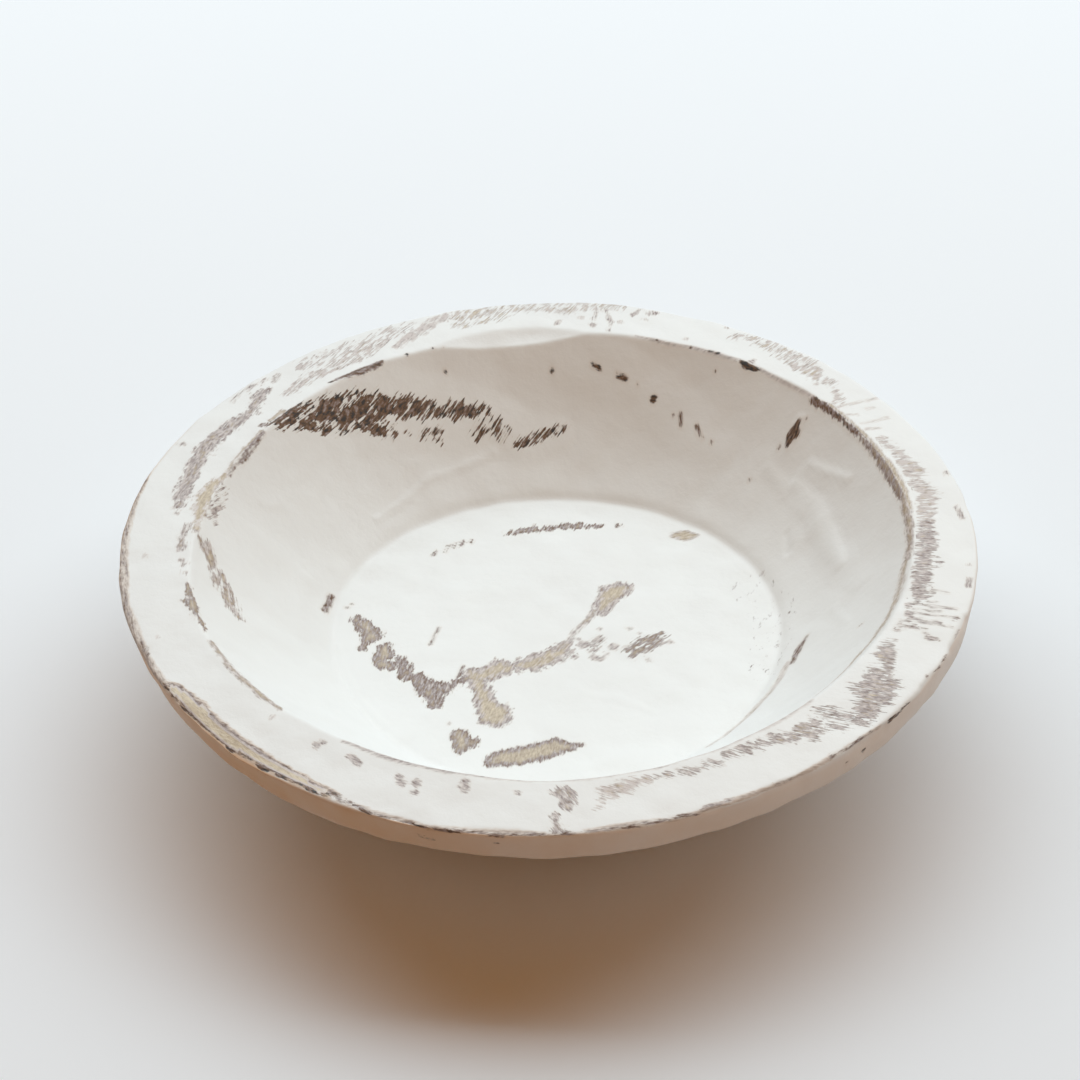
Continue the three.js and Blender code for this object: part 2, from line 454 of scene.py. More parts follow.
        over_edge = corner(lip, edge, side, self.edge_round, self.edge_steps)
        under_side = corner(edge, side, foot, self.side_round, self.side_steps)
        over_foot = corner(side, foot, middle, self.foot_round, self.foot_steps)
        rows = np.vstack([
            over_edge, between(over_edge[-1], under_side[0], self.side_rows), under_side,
            between(under_side[-1], over_foot[0], self.wall_rows), over_foot,
            between(over_foot[-1], middle, self.foot_rows)])
        along = np.gradient(rows, axis=0)
        normal = np.stack([-along[:, 1], along[:, 0]], axis=1)
        return rows, normal / np.linalg.norm(normal, axis=1, keepdims=True)

    def hewn_radius(self, height: Array, angle: Array) -> Array:
        """The radius of the nearest hewn flat: planes that follow the outside's slope and bite into it.

        Args:
            height: the height of each row of points.
            angle: the angle of each column.

        Returns:
            The radius that the flats leave.
        """
        lean = self.rim_radius - self.side_tuck - self.foot_radius
        lean /= self.height - self.rim_fall - self.rim_side
        nearest = np.full(np.broadcast(height, angle).shape, np.inf)
        for i in range(self.flat_count):
            facing = 2 * math.pi * i / self.flat_count
            facing += math.radians(self.flat_sway * math.sin(self.flat_sway_phase * i))
            bite = self.flat_bite + self.flat_bite_spread * math.sin(self.flat_bite_phase * i)
            away = np.cos(angle - facing)
            plane = (self.foot_radius - bite + height * lean) / np.maximum(away, self.flat_view)
            nearest = np.minimum(nearest, np.where(away > self.flat_view, plane, np.inf))
        return nearest

    def floor_sheet(self) -> Sheet:
        """The inner floor, on rings of half as many points as the rest.

        Returns:
            The sheet, whose first ring closes on the pole.
        """
        angle = np.arange(0, self.columns, 2) * 2 * math.pi / self.columns
        last = self.floor_outline(angle) - self.floor_inset
        radius = np.linspace(self.pole_radius, last, self.floor_rings)
        return self.upper_sheet(radius, angle)

    def upper_sheet(self, radius: Array, angle: Array) -> Sheet:
        """A sheet of the upper side, where the folded-out plan is the plan itself."""
        plan = np.stack([radius * np.cos(angle), radius * np.sin(angle)], axis=-1)
        height = np.minimum(self.top_height(radius, angle, plan) + self.tool_marks(plan), self.height)
        return Sheet(np.concatenate([plan, height[..., None]], axis=-1), plan)

    def shell_sheet(self) -> Sheet:
        """The cove, the wall, the lip, the rim and the whole outside.

        Returns:
            The sheet, whose last ring closes on the foot's pole.
        """
        angle = np.arange(self.columns) * 2 * math.pi / self.columns
        floor, lip, edge = self.floor_outline(angle), self.lip_outline(angle), self.rim_outline(angle)
        stops = (floor - self.floor_inset, floor + self.cove_reach, lip - self.lip_inside,
                 lip + self.lip_outside, edge - self.edge_round)
        legs = zip(stops, stops[1:], self.upper_rings)
        radius = np.vstack([np.linspace(*leg, endpoint=False) for leg in legs])
        upper = self.upper_sheet(radius[1:], angle)
        outside = self.outside_sheet(angle)
        return Sheet(np.concatenate([upper.points, outside.points]),
                     np.concatenate([upper.plan, outside.plan]))

    def side_facets(self, angle: Array) -> Array:
        """How far the side's lower edge is cut above its level: straight runs between hewn corners.

        Args:
            angle: the angle of each column.

        Returns:
            The rise of each column in millimetres.
        """
        chance = np.random.default_rng(self.facet_seed)
        jitter = chance.uniform(-self.facet_jitter, self.facet_jitter, self.facet_count)
        turn = (np.arange(self.facet_count) + jitter) / self.facet_count
        rise = chance.uniform(*self.facet_rise, self.facet_count)
        return np.interp(angle, turn * 2 * math.pi, rise, period=2 * math.pi)

    def side_flare(self, angle: Array) -> Array:
        """How far the side's lower edge stands out on the fuller right: flare exp(-(turn / spread)^2).

        Args:
            angle: the angle of each column.

        Returns:
            The swell of each column in millimetres.
        """
        turn = (np.degrees(angle) - self.flare_turn + 180) % 360 - 180
        return self.flare * np.exp(-(turn / self.flare_spread) ** 2)

    def outside_sheet(self, angle: Array) -> Sheet:
        """The rim's edge and side, the hewn wall and the foot.

        The section is turned round and follows the outer lobes. The side's lower edge is hewn in
        facets and flares on one side, below it the hewn flats cut the wall back, and the bevel
        cuts the edge down. Folded out, a ring's radius is that of the edge plus the way down the
        section.

        Args:
            angle: the angle of each column.

        Returns:
            The sheet.
        """
        rows, normal = self.outside_profile()
        stretch = self.rim_outline(angle) / self.rim_radius
        radius, height = rows[:, :1] * stretch, np.repeat(rows[:, 1:], len(angle), axis=1)
        below_edge = (self.height - self.rim_fall - rows[:, 1:]) / self.rim_side
        reach = np.clip(below_edge, 0, 1) ** 2 * np.clip(2 - below_edge, 0, 1)
        height = height + self.side_facets(angle) * reach
        way = np.concatenate([[0], np.cumsum(np.linalg.norm(np.diff(rows, axis=0), axis=1))])
        folded = self.rim_outline(angle) - self.edge_round + way[:, None]
        heading = np.stack([np.cos(angle), np.sin(angle)], axis=-1)
        plan = folded[..., None] * heading
        hewn = self.hewn_radius(height, angle)
        below_side = height < self.height - self.rim_fall - self.rim_side + self.side_round
        cut = np.minimum(radius, soft_min(radius, hewn, self.flat_blend))
        radius = np.where(below_side, cut, radius)
        swell = np.clip(below_edge, 0, 1) * np.clip(2 - below_edge, 0, 1)
        radius = radius + self.side_flare(angle) * swell
        marks = self.tool_marks(plan)
        radius = np.maximum(radius + marks * normal[:, :1], self.least_radius)
        height = height + marks * normal[:, 1:]
        height = np.where(rows[:, 1:] <= 0, 0, np.maximum(height, 0))
        place = radius[..., None] * heading
        bevelled = soft_min(height, self.bevel_height(place), self.bevel_blend)
        height = np.where(height > self.rim_side, bevelled, height)
        return Sheet(np.concatenate([place, height[..., None]], axis=-1), plan)


class Stain(Enum):
    """How dark the stain under the paint shows, from worn pale to full."""

    BLEACHED = -0.7
    PALE = 0.0
    WEATHERED = 0.24
    BROWN = 0.5
    UMBER = 0.66
    DEEP = 0.8
    DARK = 0.88


# A bare depth that no rub reaches
NEVER = 20.0


@dataclass(frozen=True)
class Rub:
    """A place where the paint is rubbed through, as strokes on the folded-out plan.

    The depth says how far the rub goes: above the raggedness it is solid, at nought half of the
    paint is left in streaks, and below that only a few streaks show. Past the bare depth the stain
    is gone too. The grain is the streaks' direction in degrees from the x axis, and combed is the
    share of long, thin streaks against blotches. Thin is how much the stain shines through the
    paint that is left next to the rub.
    """

    place: str
    paths: tuple[Path, ...]
    grain: float
    depth: float = 2.5
    ragged: float = 0.8
    bare: float = NEVER
    combed: float = 0.35
    stain: Stain = Stain.WEATHERED
    thin: float = 0.2


# On the rim's flat top the stain takes paler tones than on the walls: partly the wear's own colour and
# partly painted sheen, the light that the flat top throws back
RIM_RUBS: tuple[Rub, ...] = (
    Rub("long band on the left", combed=0.25, grain=67, depth=1.6, ragged=1.15, bare=2.4, paths=(
        around((137.8, 133, 0.8), (139.5, 132, 2.3), (142, 129.5, 1.9), (145, 127.6, 1.7),
               (147.5, 128, 2.4), (151, 129.2, 3.2), (156, 129.5, 3), (160, 128.2, 2.9),
               (164.5, 127.2, 2.7), (168, 126.3, 2.2), (170.8, 125.8, 1.2)),)),
    Rub("flecks beside the left band", combed=0.7, grain=67, depth=0.6, ragged=0.7, paths=(
        around((172.2, 125.5, 0.6)), around((143.7, 124.2, 0.6)),
        around((133.9, 137.3, 0.7), (135.8, 134.8, 0.5)),
        around((136.2, 138.5, 0.6), (137.6, 136.6, 0.5)), around((138.6, 139.3, 0.6), (140, 138, 0.5)),
        around((141, 139.4, 0.5), (143.3, 138, 0.6)), around((127, 136.3, 0.6)),
        around((155.5, 139, 1)))),
    Rub("band at the back left", combed=0.7, grain=57, depth=0.1, ragged=1.5, bare=2.2,
        stain=Stain.PALE, paths=(
            around((116, 131, 1.5), (119, 129.5, 4), (122, 128, 3.6), (126, 126.5, 2.4),
                   (130, 126.3, 2.4), (134, 126, 1.8), (137, 125, 0.8)),)),
    Rub("faint streaks at the back left edge", combed=1.0, grain=57, depth=-0.7, ragged=1.5,
        stain=Stain.PALE, paths=(
            around((111, 136, 2.5), (119, 133, 2.5), (130, 135, 2)),)),
    Rub("smear at the back left", combed=0.6, grain=60, depth=0.6, ragged=0.9, stain=Stain.PALE,
        paths=(
            around((104.8, 137.5, 1.8), (107.5, 134, 2.6), (110, 130.5, 2.4), (112.5, 127.5, 1.9),
                   (115, 124.5, 1)),)),
    Rub("hatching at the back edge", combed=1.0, grain=58, depth=-0.1, ragged=1.5, bare=1.4,
        stain=Stain.PALE, paths=(
            around((77.5, 138.3, 1.4), (82, 137.3, 2.4), (86, 136.3, 3.2), (89, 137, 3), (93, 138, 2),
                   (98, 136.8, 2.8), (103, 136, 3)),)),
    Rub("pale hatching inside the back edge", combed=1.0, grain=58, depth=-0.6, ragged=1.5, bare=0.9,
        stain=Stain.PALE, paths=(
            around((96, 134, 3), (103, 131, 3)),)),
    Rub("spots at the back", combed=0.6, grain=80, depth=1, ragged=0.6, paths=(
        around((60, 137.5, 0.6)), around((71.8, 137.8, 1.2), (72.4, 135.8, 1)),
        around((72.9, 131.5, 0.7)), around((74.3, 138, 0.8), (75, 133.5, 0.7)),
        around((79.3, 135, 0.5), (78.4, 129, 0.5), (77.7, 120.5, 0.3)),
        around((80.5, 137, 0.4), (81, 128, 0.4)), around((81, 124.3, 1.1)),
        around((86.9, 127.5, 0.5), (87.3, 124.6, 0.5)))),
    Rub("faint spots at the back", grain=75, depth=-0.1, ragged=0.5, stain=Stain.PALE, paths=(
        around((76.5, 127.5, 0.9)), around((83.2, 129, 0.9)), around((64.5, 123.5, 0.8)))),
    Rub("back right streaks", combed=0.85, grain=47, depth=0.35, ragged=1.5, bare=2.0,
        stain=Stain.PALE, paths=(
            around((38, 130.5, 1.2), (40.5, 129.7, 1.8), (42.5, 131.3, 3.2), (45, 132.3, 3.6),
                   (47, 133, 2.8)), around((57.5, 135, 0.7), (57.7, 132.5, 0.6)))),
    Rub("pale back right streaks", combed=0.9, grain=50, depth=-0.1, ragged=1.5, bare=1.4,
        stain=Stain.PALE, paths=(
            around((47, 133, 2.8), (50, 134, 2.4), (53, 135.3, 2.3), (55.5, 135.5, 1.3)),)),
    Rub("flecks beside the back right streaks", combed=0.8, grain=40, depth=0.4, ragged=0.9,
        stain=Stain.PALE, paths=(
            around((32.5, 125.5, 0.8)), around((34, 126.5, 1), (36, 128.2, 0.9)),
            around((33.5, 123.2, 0.5)), around((39.1, 126, 0.7)), around((52.6, 137.2, 1)))),
    Rub("thin lines on the right, upper", combed=0.9, grain=24, depth=0.1, ragged=0.35,
        stain=Stain.PALE, paths=(
            around((32.2, 122.6, 0.3), (31.7, 130.5, 0.35), (31, 138, 0.25)),
            around((26.5, 124, 0.35), (26.3, 129, 0.3), (25.9, 134, 0.25)),
            around((29.9, 122, 0.3), (29, 126, 0.3)), around((24.8, 123.7, 0.3), (24.3, 127.8, 0.3)),
            around((29.5, 131, 0.5), (29.2, 133, 0.4)), around((22, 126, 0.6)))),
    Rub("band on the right", combed=0.75, grain=8, depth=0.55, ragged=1.4, bare=2.2, stain=Stain.PALE,
        paths=(
            around((-1, 125.8, 2.4), (1, 126.4, 2.3), (3.7, 126.8, 2.2)),
            around((4.9, 128, 2.6), (6.3, 130, 3.3), (8, 128.5, 2.8)), around((9.4, 125.8, 1.1)),
            around((11, 127.5, 2.4), (12.5, 128.8, 3.2), (14.3, 127.5, 2.8)),
            around((16, 127, 1.7), (18, 126.6, 1.6)), around((19.3, 126, 1.1), (21.5, 125.6, 0.9)))),
    Rub("band on the right, lower", combed=0.65, grain=-5, depth=1.1, ragged=1.4, bare=2.8, paths=(
        around((-19.3, 125.3, 1.8), (-17, 125, 2.6), (-12, 124.2, 2.4), (-7, 124.7, 2.6),
               (-3, 125.2, 2.8), (-1, 125.8, 2.4)), around((-17.3, 128.5, 0.7)),
        around((-10.3, 128.5, 0.6)))),
    Rub("flecks at the right edge", combed=0.5, grain=80, depth=0.3, ragged=0.6, paths=(
        around((0.5, 138.2, 0.6), (3, 137.3, 0.6)), around((10.8, 139, 0.7)),
        around((-14.4, 139.6, 0.8), (-13, 139.2, 0.8)), around((-10.2, 138.6, 0.5)))),
    Rub("fine lines on the right", combed=0.9, grain=-10, depth=0.3, ragged=0.25, stain=Stain.BROWN,
        paths=(
            around((-19.7, 124, 0.3), (-19.2, 131, 0.3)),
            around((-20.7, 123, 0.3), (-20, 134, 0.3), (-19.8, 138, 0.25)),
            around((-21.8, 124.5, 0.3), (-21, 133, 0.3)),
            around((-22.9, 123, 0.3), (-22.2, 131, 0.35), (-21.4, 139, 0.25)),
            around((-24, 125, 0.3), (-23.3, 134.5, 0.3)),
            around((-25, 122.5, 0.35), (-24.2, 130, 0.35), (-23.6, 138.5, 0.25)),
            around((-26, 124, 0.35), (-25.4, 131, 0.3)), around((-26.3, 131, 0.35), (-26.7, 136, 0.35)),
            around((-16.9, 127, 0.4), (-16.7, 133.5, 0.3)))),
    Rub("blots between the fine lines", combed=0.6, grain=-10, depth=0.8, ragged=0.8, paths=(
        around((-21.2, 122.9, 1.2)), around((-23.2, 124, 1.3)), around((-24.5, 125.2, 1)),
        around((-26.9, 122.9, 0.7)), around((-25.3, 127.4, 0.9)))),
    Rub("spots on the right", combed=0.7, grain=-12, depth=0.9, ragged=0.7, paths=(
        around((-26.7, 135.3, 0.6), (-26.9, 133, 0.6)), around((-25.7, 128, 0.7), (-26.2, 125.5, 0.6)),
        around((-27.2, 123.2, 0.7), (-26, 122.6, 0.5)), around((-23, 123.6, 0.6)),
        around((-21.2, 123.6, 0.8)), around((-22.2, 138, 0.4)), around((-29.6, 124.4, 0.4)))),
    Rub("dense patch at the front right", combed=0.85, grain=-13, depth=1.7, ragged=1.8, bare=3.6,
        paths=(
            around((-44.6, 133.3, 2.8), (-42.8, 131.8, 4.5), (-41, 130.3, 5.8), (-39, 129.6, 5.4)),
            around((-38.6, 134.5, 0.8), (-38, 128, 1.8)))),
    Rub("small patch at the front right", combed=0.85, grain=-12, depth=1.0, ragged=1.3, bare=2.2,
        paths=(
            around((-35, 127.3, 1.6), (-33.3, 124.8, 2.7), (-30.6, 122.9, 1.4)),
            around((-36.4, 129, 1.2), (-36.9, 125, 1.4)))),
    Rub("lines off the dense patch", combed=1.0, grain=-15, depth=0.1, ragged=1.6, paths=(
        around((-48.9, 123.8, 1.6), (-45.6, 135.5, 1.6)), around((-50, 129, 0.8), (-49, 133, 0.7)))),
    Rub("front right patches", combed=0.65, grain=-17, depth=0.8, ragged=1.4, bare=2.0, paths=(
        around((-60, 123, 1), (-57.5, 124, 1.5), (-56, 125.2, 1.9)),
        around((-54.6, 126, 2.4), (-52.7, 127.3, 3.5), (-51.2, 126, 2)))),
    Rub("front streaks", combed=0.85, grain=-22, depth=0.5, ragged=1.2, bare=2.0, paths=(
        around((-65.5, 122.4, 0.9), (-62.5, 122.9, 1.3), (-60.5, 123.3, 1.6)),
        around((-68.7, 123.2, 0.7), (-66.4, 124.4, 0.9)),
        around((-72.5, 123.2, 0.8), (-70.2, 124.4, 0.9)),
        around((-76, 123.6, 0.7), (-73.8, 123.5, 0.7)))),
    Rub("front band", combed=0.6, grain=-25, depth=1, ragged=1.1, bare=1.9, stain=Stain.PALE, paths=(
        around((-83.8, 126, 1.3), (-82, 125.5, 2.3), (-79.5, 124.8, 1.9), (-77, 123.9, 1.1)),
        around((-84.4, 131.6, 0.6)), around((-84, 128.6, 0.7)))),
    Rub("front patches", combed=0.4, grain=-60, depth=1.2, ragged=1.0, bare=1.9, paths=(
        around((-89.6, 124.6, 1.9), (-88.3, 125, 2.3), (-88.4, 128.5, 2.4), (-88.5, 131.2, 1)),
        around((-90, 134.2, 1), (-89.8, 139.6, 1.4)))),
    Rub("front left spots", combed=0.0, grain=-35, depth=0.7, ragged=0.6, paths=(
        around((-111.8, 124.3, 1.1), (-110.8, 127, 1.1)),
        around((-109.1, 124.2, 1), (-108.9, 126, 0.9)), around((-108.6, 129, 1.1)),
        around((-102.6, 121.8, 1.1), (-102.2, 124.6, 1.2)), around((-95, 125, 0.8)),
        around((-119.5, 122.6, 1.3), (-118.4, 123.8, 1.1)),
        around((-125.3, 123.4, 0.9), (-125.2, 121.6, 1)))),
    Rub("faint spots on the left", combed=0.3, grain=60, depth=-0.1, ragged=0.5, stain=Stain.PALE,
        paths=(
            around((-134.5, 122.5, 0.7)), around((-177.8, 132.5, 0.7)), around((-159.3, 133, 0.4)))),
)

LIP_RUBS: tuple[Rub, ...] = (
    Rub("bare patch on the left lip", grain=72, depth=2.2, ragged=0.9, bare=0.4, stain=Stain.PALE,
        paths=(
            around((161, 116.3, 0.8), (163, 117.2, 1.3), (165, 118.3, 2.3), (168, 118.3, 2.6),
                   (171, 118.2, 2.2), (173.5, 117.6, 1.1), (176, 117.3, 0.6)),)),
    Rub("hatching under the left patch", combed=0.9, grain=62, depth=0.1, ragged=1.2, paths=(
        around((163, 115.7, 0.5), (166, 115.1, 0.8), (168.5, 114.6, 0.9), (171.5, 114.3, 0.7)),)),
    Rub("line up the left lip", grain=62, depth=0.9, ragged=0.5, stain=Stain.BROWN, paths=(
        around((160.5, 114.9, 0.25), (158, 115, 0.45), (155, 114.7, 0.65), (152, 115.1, 0.55),
               (148, 115.6, 0.55)),)),
    Rub("tan line over the left lip", grain=62, depth=0.7, ragged=0.5, bare=0.3, paths=(
        around((160.5, 116, 0.5), (154, 116.2, 0.5), (148, 116.8, 0.6)),)),
    Rub("knot on the left lip", grain=60, depth=1.2, ragged=0.6, stain=Stain.BROWN, paths=(
        ((-98, 65.5, 1.4),),)),
    Rub("tan place on the left lip", grain=50, depth=2, ragged=0.6, bare=0.3, paths=(
        ((-95.5, 68.5, 0.9), (-92, 73.5, 1.1)),)),
    Rub("stain on the left rim", combed=0.5, grain=85, depth=0.8, ragged=0.8, bare=1.4, paths=(
        around((175, 120.5, 0.6), (178, 121.3, 1.1), (181.4, 121.2, 1.1)),
        around((184, 120.2, 0.8), (185.4, 120.1, 0.7)), around((187.5, 120, 0.6)),
        around((173, 117.4, 0.5), (177, 117.3, 0.4)))),
    Rub("left lip patch", combed=0.3, grain=100, depth=1.5, ragged=0.8, bare=0.9, stain=Stain.BROWN,
        paths=(
            around((-169.5, 119.1, 0.6), (-166.5, 119.4, 1.2), (-164, 119.3, 1.5), (-161.5, 118.7, 1),
                   (-158, 118.1, 0.4)), around((-166, 122, 0.5), (-165.6, 120.8, 0.9)))),
    Rub("front left lip line", combed=0.2, grain=125, depth=1.0, ragged=0.5, bare=0.8, paths=(
        around((-155, 118, 0.75), (-151, 118.1, 0.95), (-147, 118.3, 1.05), (-143, 118.3, 1.05),
               (-139, 118.2, 1.05), (-135, 118, 0.75)),)),
    Rub("front lip line", combed=0.5, grain=10, depth=0.4, ragged=0.25, stain=Stain.PALE, paths=(
        around((-100, 118.9, 0.5), (-95, 119.1, 0.4), (-85, 119.8, 0.4), (-75, 119.7, 0.4),
               (-65, 119.1, 0.4), (-55, 118.7, 0.4), (-48, 118.3, 0.4)),)),
    Rub("front left part of the lip line", combed=0.5, grain=10, depth=0.6, ragged=0.3, paths=(
        around((-122.5, 117.8, 0.5), (-115, 118.2, 0.7), (-108, 118.6, 0.6), (-100, 118.9, 0.5)),)),
    Rub("brown lens on the back left lip", combed=0.0, grain=20, depth=1.5, ragged=0.3,
        stain=Stain.UMBER, paths=(
            around((119.2, 118.1, 0.7), (121, 117.7, 1.3), (123.5, 117.6, 1.2), (127, 117.9, 0.8),
                   (130, 118.3, 0.4)),)),
    Rub("marks along the back lip", grain=10, depth=0.2, ragged=0.3, stain=Stain.DARK, paths=(
        around((114.4, 118.2, 0.5)), around((109.4, 118.3, 0.3)), around((107.6, 117.8, 0.3)),
        around((54.2, 120, 0.3)), around((62.8, 119.5, 0.5)), around((67.4, 119, 0.5)),
        around((69, 119.2, 0.3)), around((57.3, 119.8, 0.5), (59.5, 119.8, 0.4)))),
    Rub("faint line along the back lip", grain=10, depth=0.1, ragged=0.1, paths=(
        around((37, 120.3, 0.3), (49, 120.2, 0.3)),
        around((53.5, 120, 0.4), (62, 119.6, 0.3), (73, 119.3, 0.2)))),
    Rub("chip on the back right lip", grain=-40, depth=1.5, ragged=0.3, stain=Stain.DARK, paths=(
        around((49.2, 119.9, 0.4), (50.2, 119.6, 0.8), (51.5, 119.5, 1), (52.6, 119.6, 0.8),
               (53.4, 119.9, 0.4)),)),
    Rub("top of the chip", grain=-40, depth=0.6, ragged=0.5, paths=(
        around((51.4, 121.4, 1.1), (51.4, 123.2, 0.5)),)),
    Rub("dark band on the right lip, upper", combed=0.2, grain=80, depth=1.0, ragged=0.4,
        stain=Stain.UMBER, paths=(
            around((36.9, 119.7, 0.9), (35, 119.9, 1.2), (32.5, 120, 1), (29, 120, 0.8),
                   (25, 120.1, 0.7)),)),
    Rub("brown band on the right lip", combed=0.3, grain=75, depth=0.9, ragged=0.45, bare=1.2,
        stain=Stain.BROWN, paths=(
            around((25, 120.1, 0.7), (20, 120.3, 0.9), (14, 120.2, 1.3), (10, 120.5, 1.2),
                   (6, 120.5, 1.1)),)),
    Rub("tan top of the right lip", combed=0.1, grain=80, depth=0.8, ragged=0.3, bare=0.0, paths=(
        around((33.5, 121.5, 0.8), (30, 121.4, 0.6), (22, 121.6, 0.7), (14, 122, 0.9), (8, 122.1, 0.9),
               (3, 121.7, 0.7)),)),
    Rub("tan band on the right lip", combed=0.3, grain=88, depth=1.0, ragged=0.4, bare=0.9, paths=(
        around((6, 120.7, 1.2), (0, 120.5, 1.2), (-5, 119.9, 1), (-9, 118.8, 0.8)),)),
    Rub("thin line on the right lip", combed=0.4, grain=70, depth=1.0, ragged=0.4, bare=0.1, paths=(
        ((117, -19, 0.7), (115.5, -24, 0.7), (114, -30, 0.7), (112, -36, 0.7), (110, -41, 0.7),
         (107.5, -47, 0.7), (104, -52, 0.7), (101, -57, 0.7), (97, -62, 0.6), (92, -70, 0.5),
         (87, -76, 0.4), (80, -83, 0.3)),)),
)

WALL_RUBS: tuple[Rub, ...] = (
    Rub("big scuff, left half", combed=0.8, grain=52, depth=0.9, ragged=1.25, stain=Stain.DEEP, paths=(
        ((-96, 66, 0.8), (-91, 69.8, 1.2), (-87.7, 73.4, 2.1), (-81.6, 76.8, 3), (-76.7, 80.3, 3.6),
         (-72, 84, 3.9), (-66, 87, 4.3)), ((-68, 83.5, 1.5), (-61, 84.5, 1.8), (-54, 86, 0.8)))),
    Rub("big scuff, right half", combed=0.85, grain=50, depth=1.0, ragged=1.2, stain=Stain.DEEP,
        paths=(
            ((-66, 87, 4), (-60, 90, 3), (-55, 92, 2.5), (-48, 94.5, 2.5), (-40, 95.5, 1.8),
             (-35, 96.5, 1.5), (-28, 97.5, 2), (-21, 99, 1)),)),
    Rub("streaks off the scuff", combed=1.0, grain=50, depth=-0.1, ragged=0.8, stain=Stain.DEEP,
        paths=(
            ((-44, 88, 0.8), (-38, 91, 0.8)), ((-38, 88, 0.6),), ((-49, 87, 0.6),),
            ((-24, 92, 1.5), (-17, 96, 1.8)), ((-16, 92, 0.8), (-13, 94, 0.8)))),
    Rub("second scuff", combed=0.9, grain=45, depth=0.3, ragged=0.88, stain=Stain.DEEP, paths=(
        ((-10, 90, 0.7), (-5, 91.5, 1.3), (0, 93, 1.2), (4, 94, 1), (8, 95, 0.7)),)),
    Rub("dots on the back wall", grain=-20, depth=0.7, ragged=0.24, stain=Stain.DARK, paths=(
        ((-35, 106.5, 0.6),), ((4, 109.5, 0.9),), ((18.5, 109.3, 0.6), (21.5, 108, 0.7)),
        ((27.5, 105.3, 0.6), (31, 103.7, 0.8)), ((40.5, 96.5, 1.2),))),
    Rub("streaked dots on the back wall", combed=0.7, grain=100, depth=0.4, ragged=0.2,
        stain=Stain.UMBER, paths=(
            ((35, 101.5, 0.35),), ((47.5, 90.5, 0.45),), ((50, 90, 0.55), (50, 87, 0.55)),
            ((55.5, 85, 0.65), (56.5, 82, 0.65)), ((57.5, 80.5, 0.35),), ((60.5, 78.5, 0.65),),
            ((63, 97, 0.35),), ((83.5, 65.5, 0.65),), ((93, 68, 0.35),), ((73, 61.5, 0.35),),
            ((101, -34.5, 0.55),))),
    Rub("lens on the right wall", grain=45, depth=2, ragged=0.4, stain=Stain.DEEP, paths=(
        ((86.5, 64.2, 0.9), (88.5, 66.5, 2.2), (90.5, 68.6, 1)),)),
    Rub("streak chain on the left wall", combed=0.55, grain=98, depth=0.5, ragged=1.2, bare=1.3,
        paths=(
            ((-114, 4, 1.7), (-111, -2, 2), (-108, -9, 2.4), (-105.5, -14, 2.4), (-103, -19, 1.5)),)),
    Rub("spot on the left wall", grain=78, depth=1.5, ragged=0.3, stain=Stain.BROWN, paths=(
        ((-75.5, 21, 0.9), (-77.5, 13, 1)), ((-70, 17, 0.6),), ((-68.5, 19, 0.5),))),
)

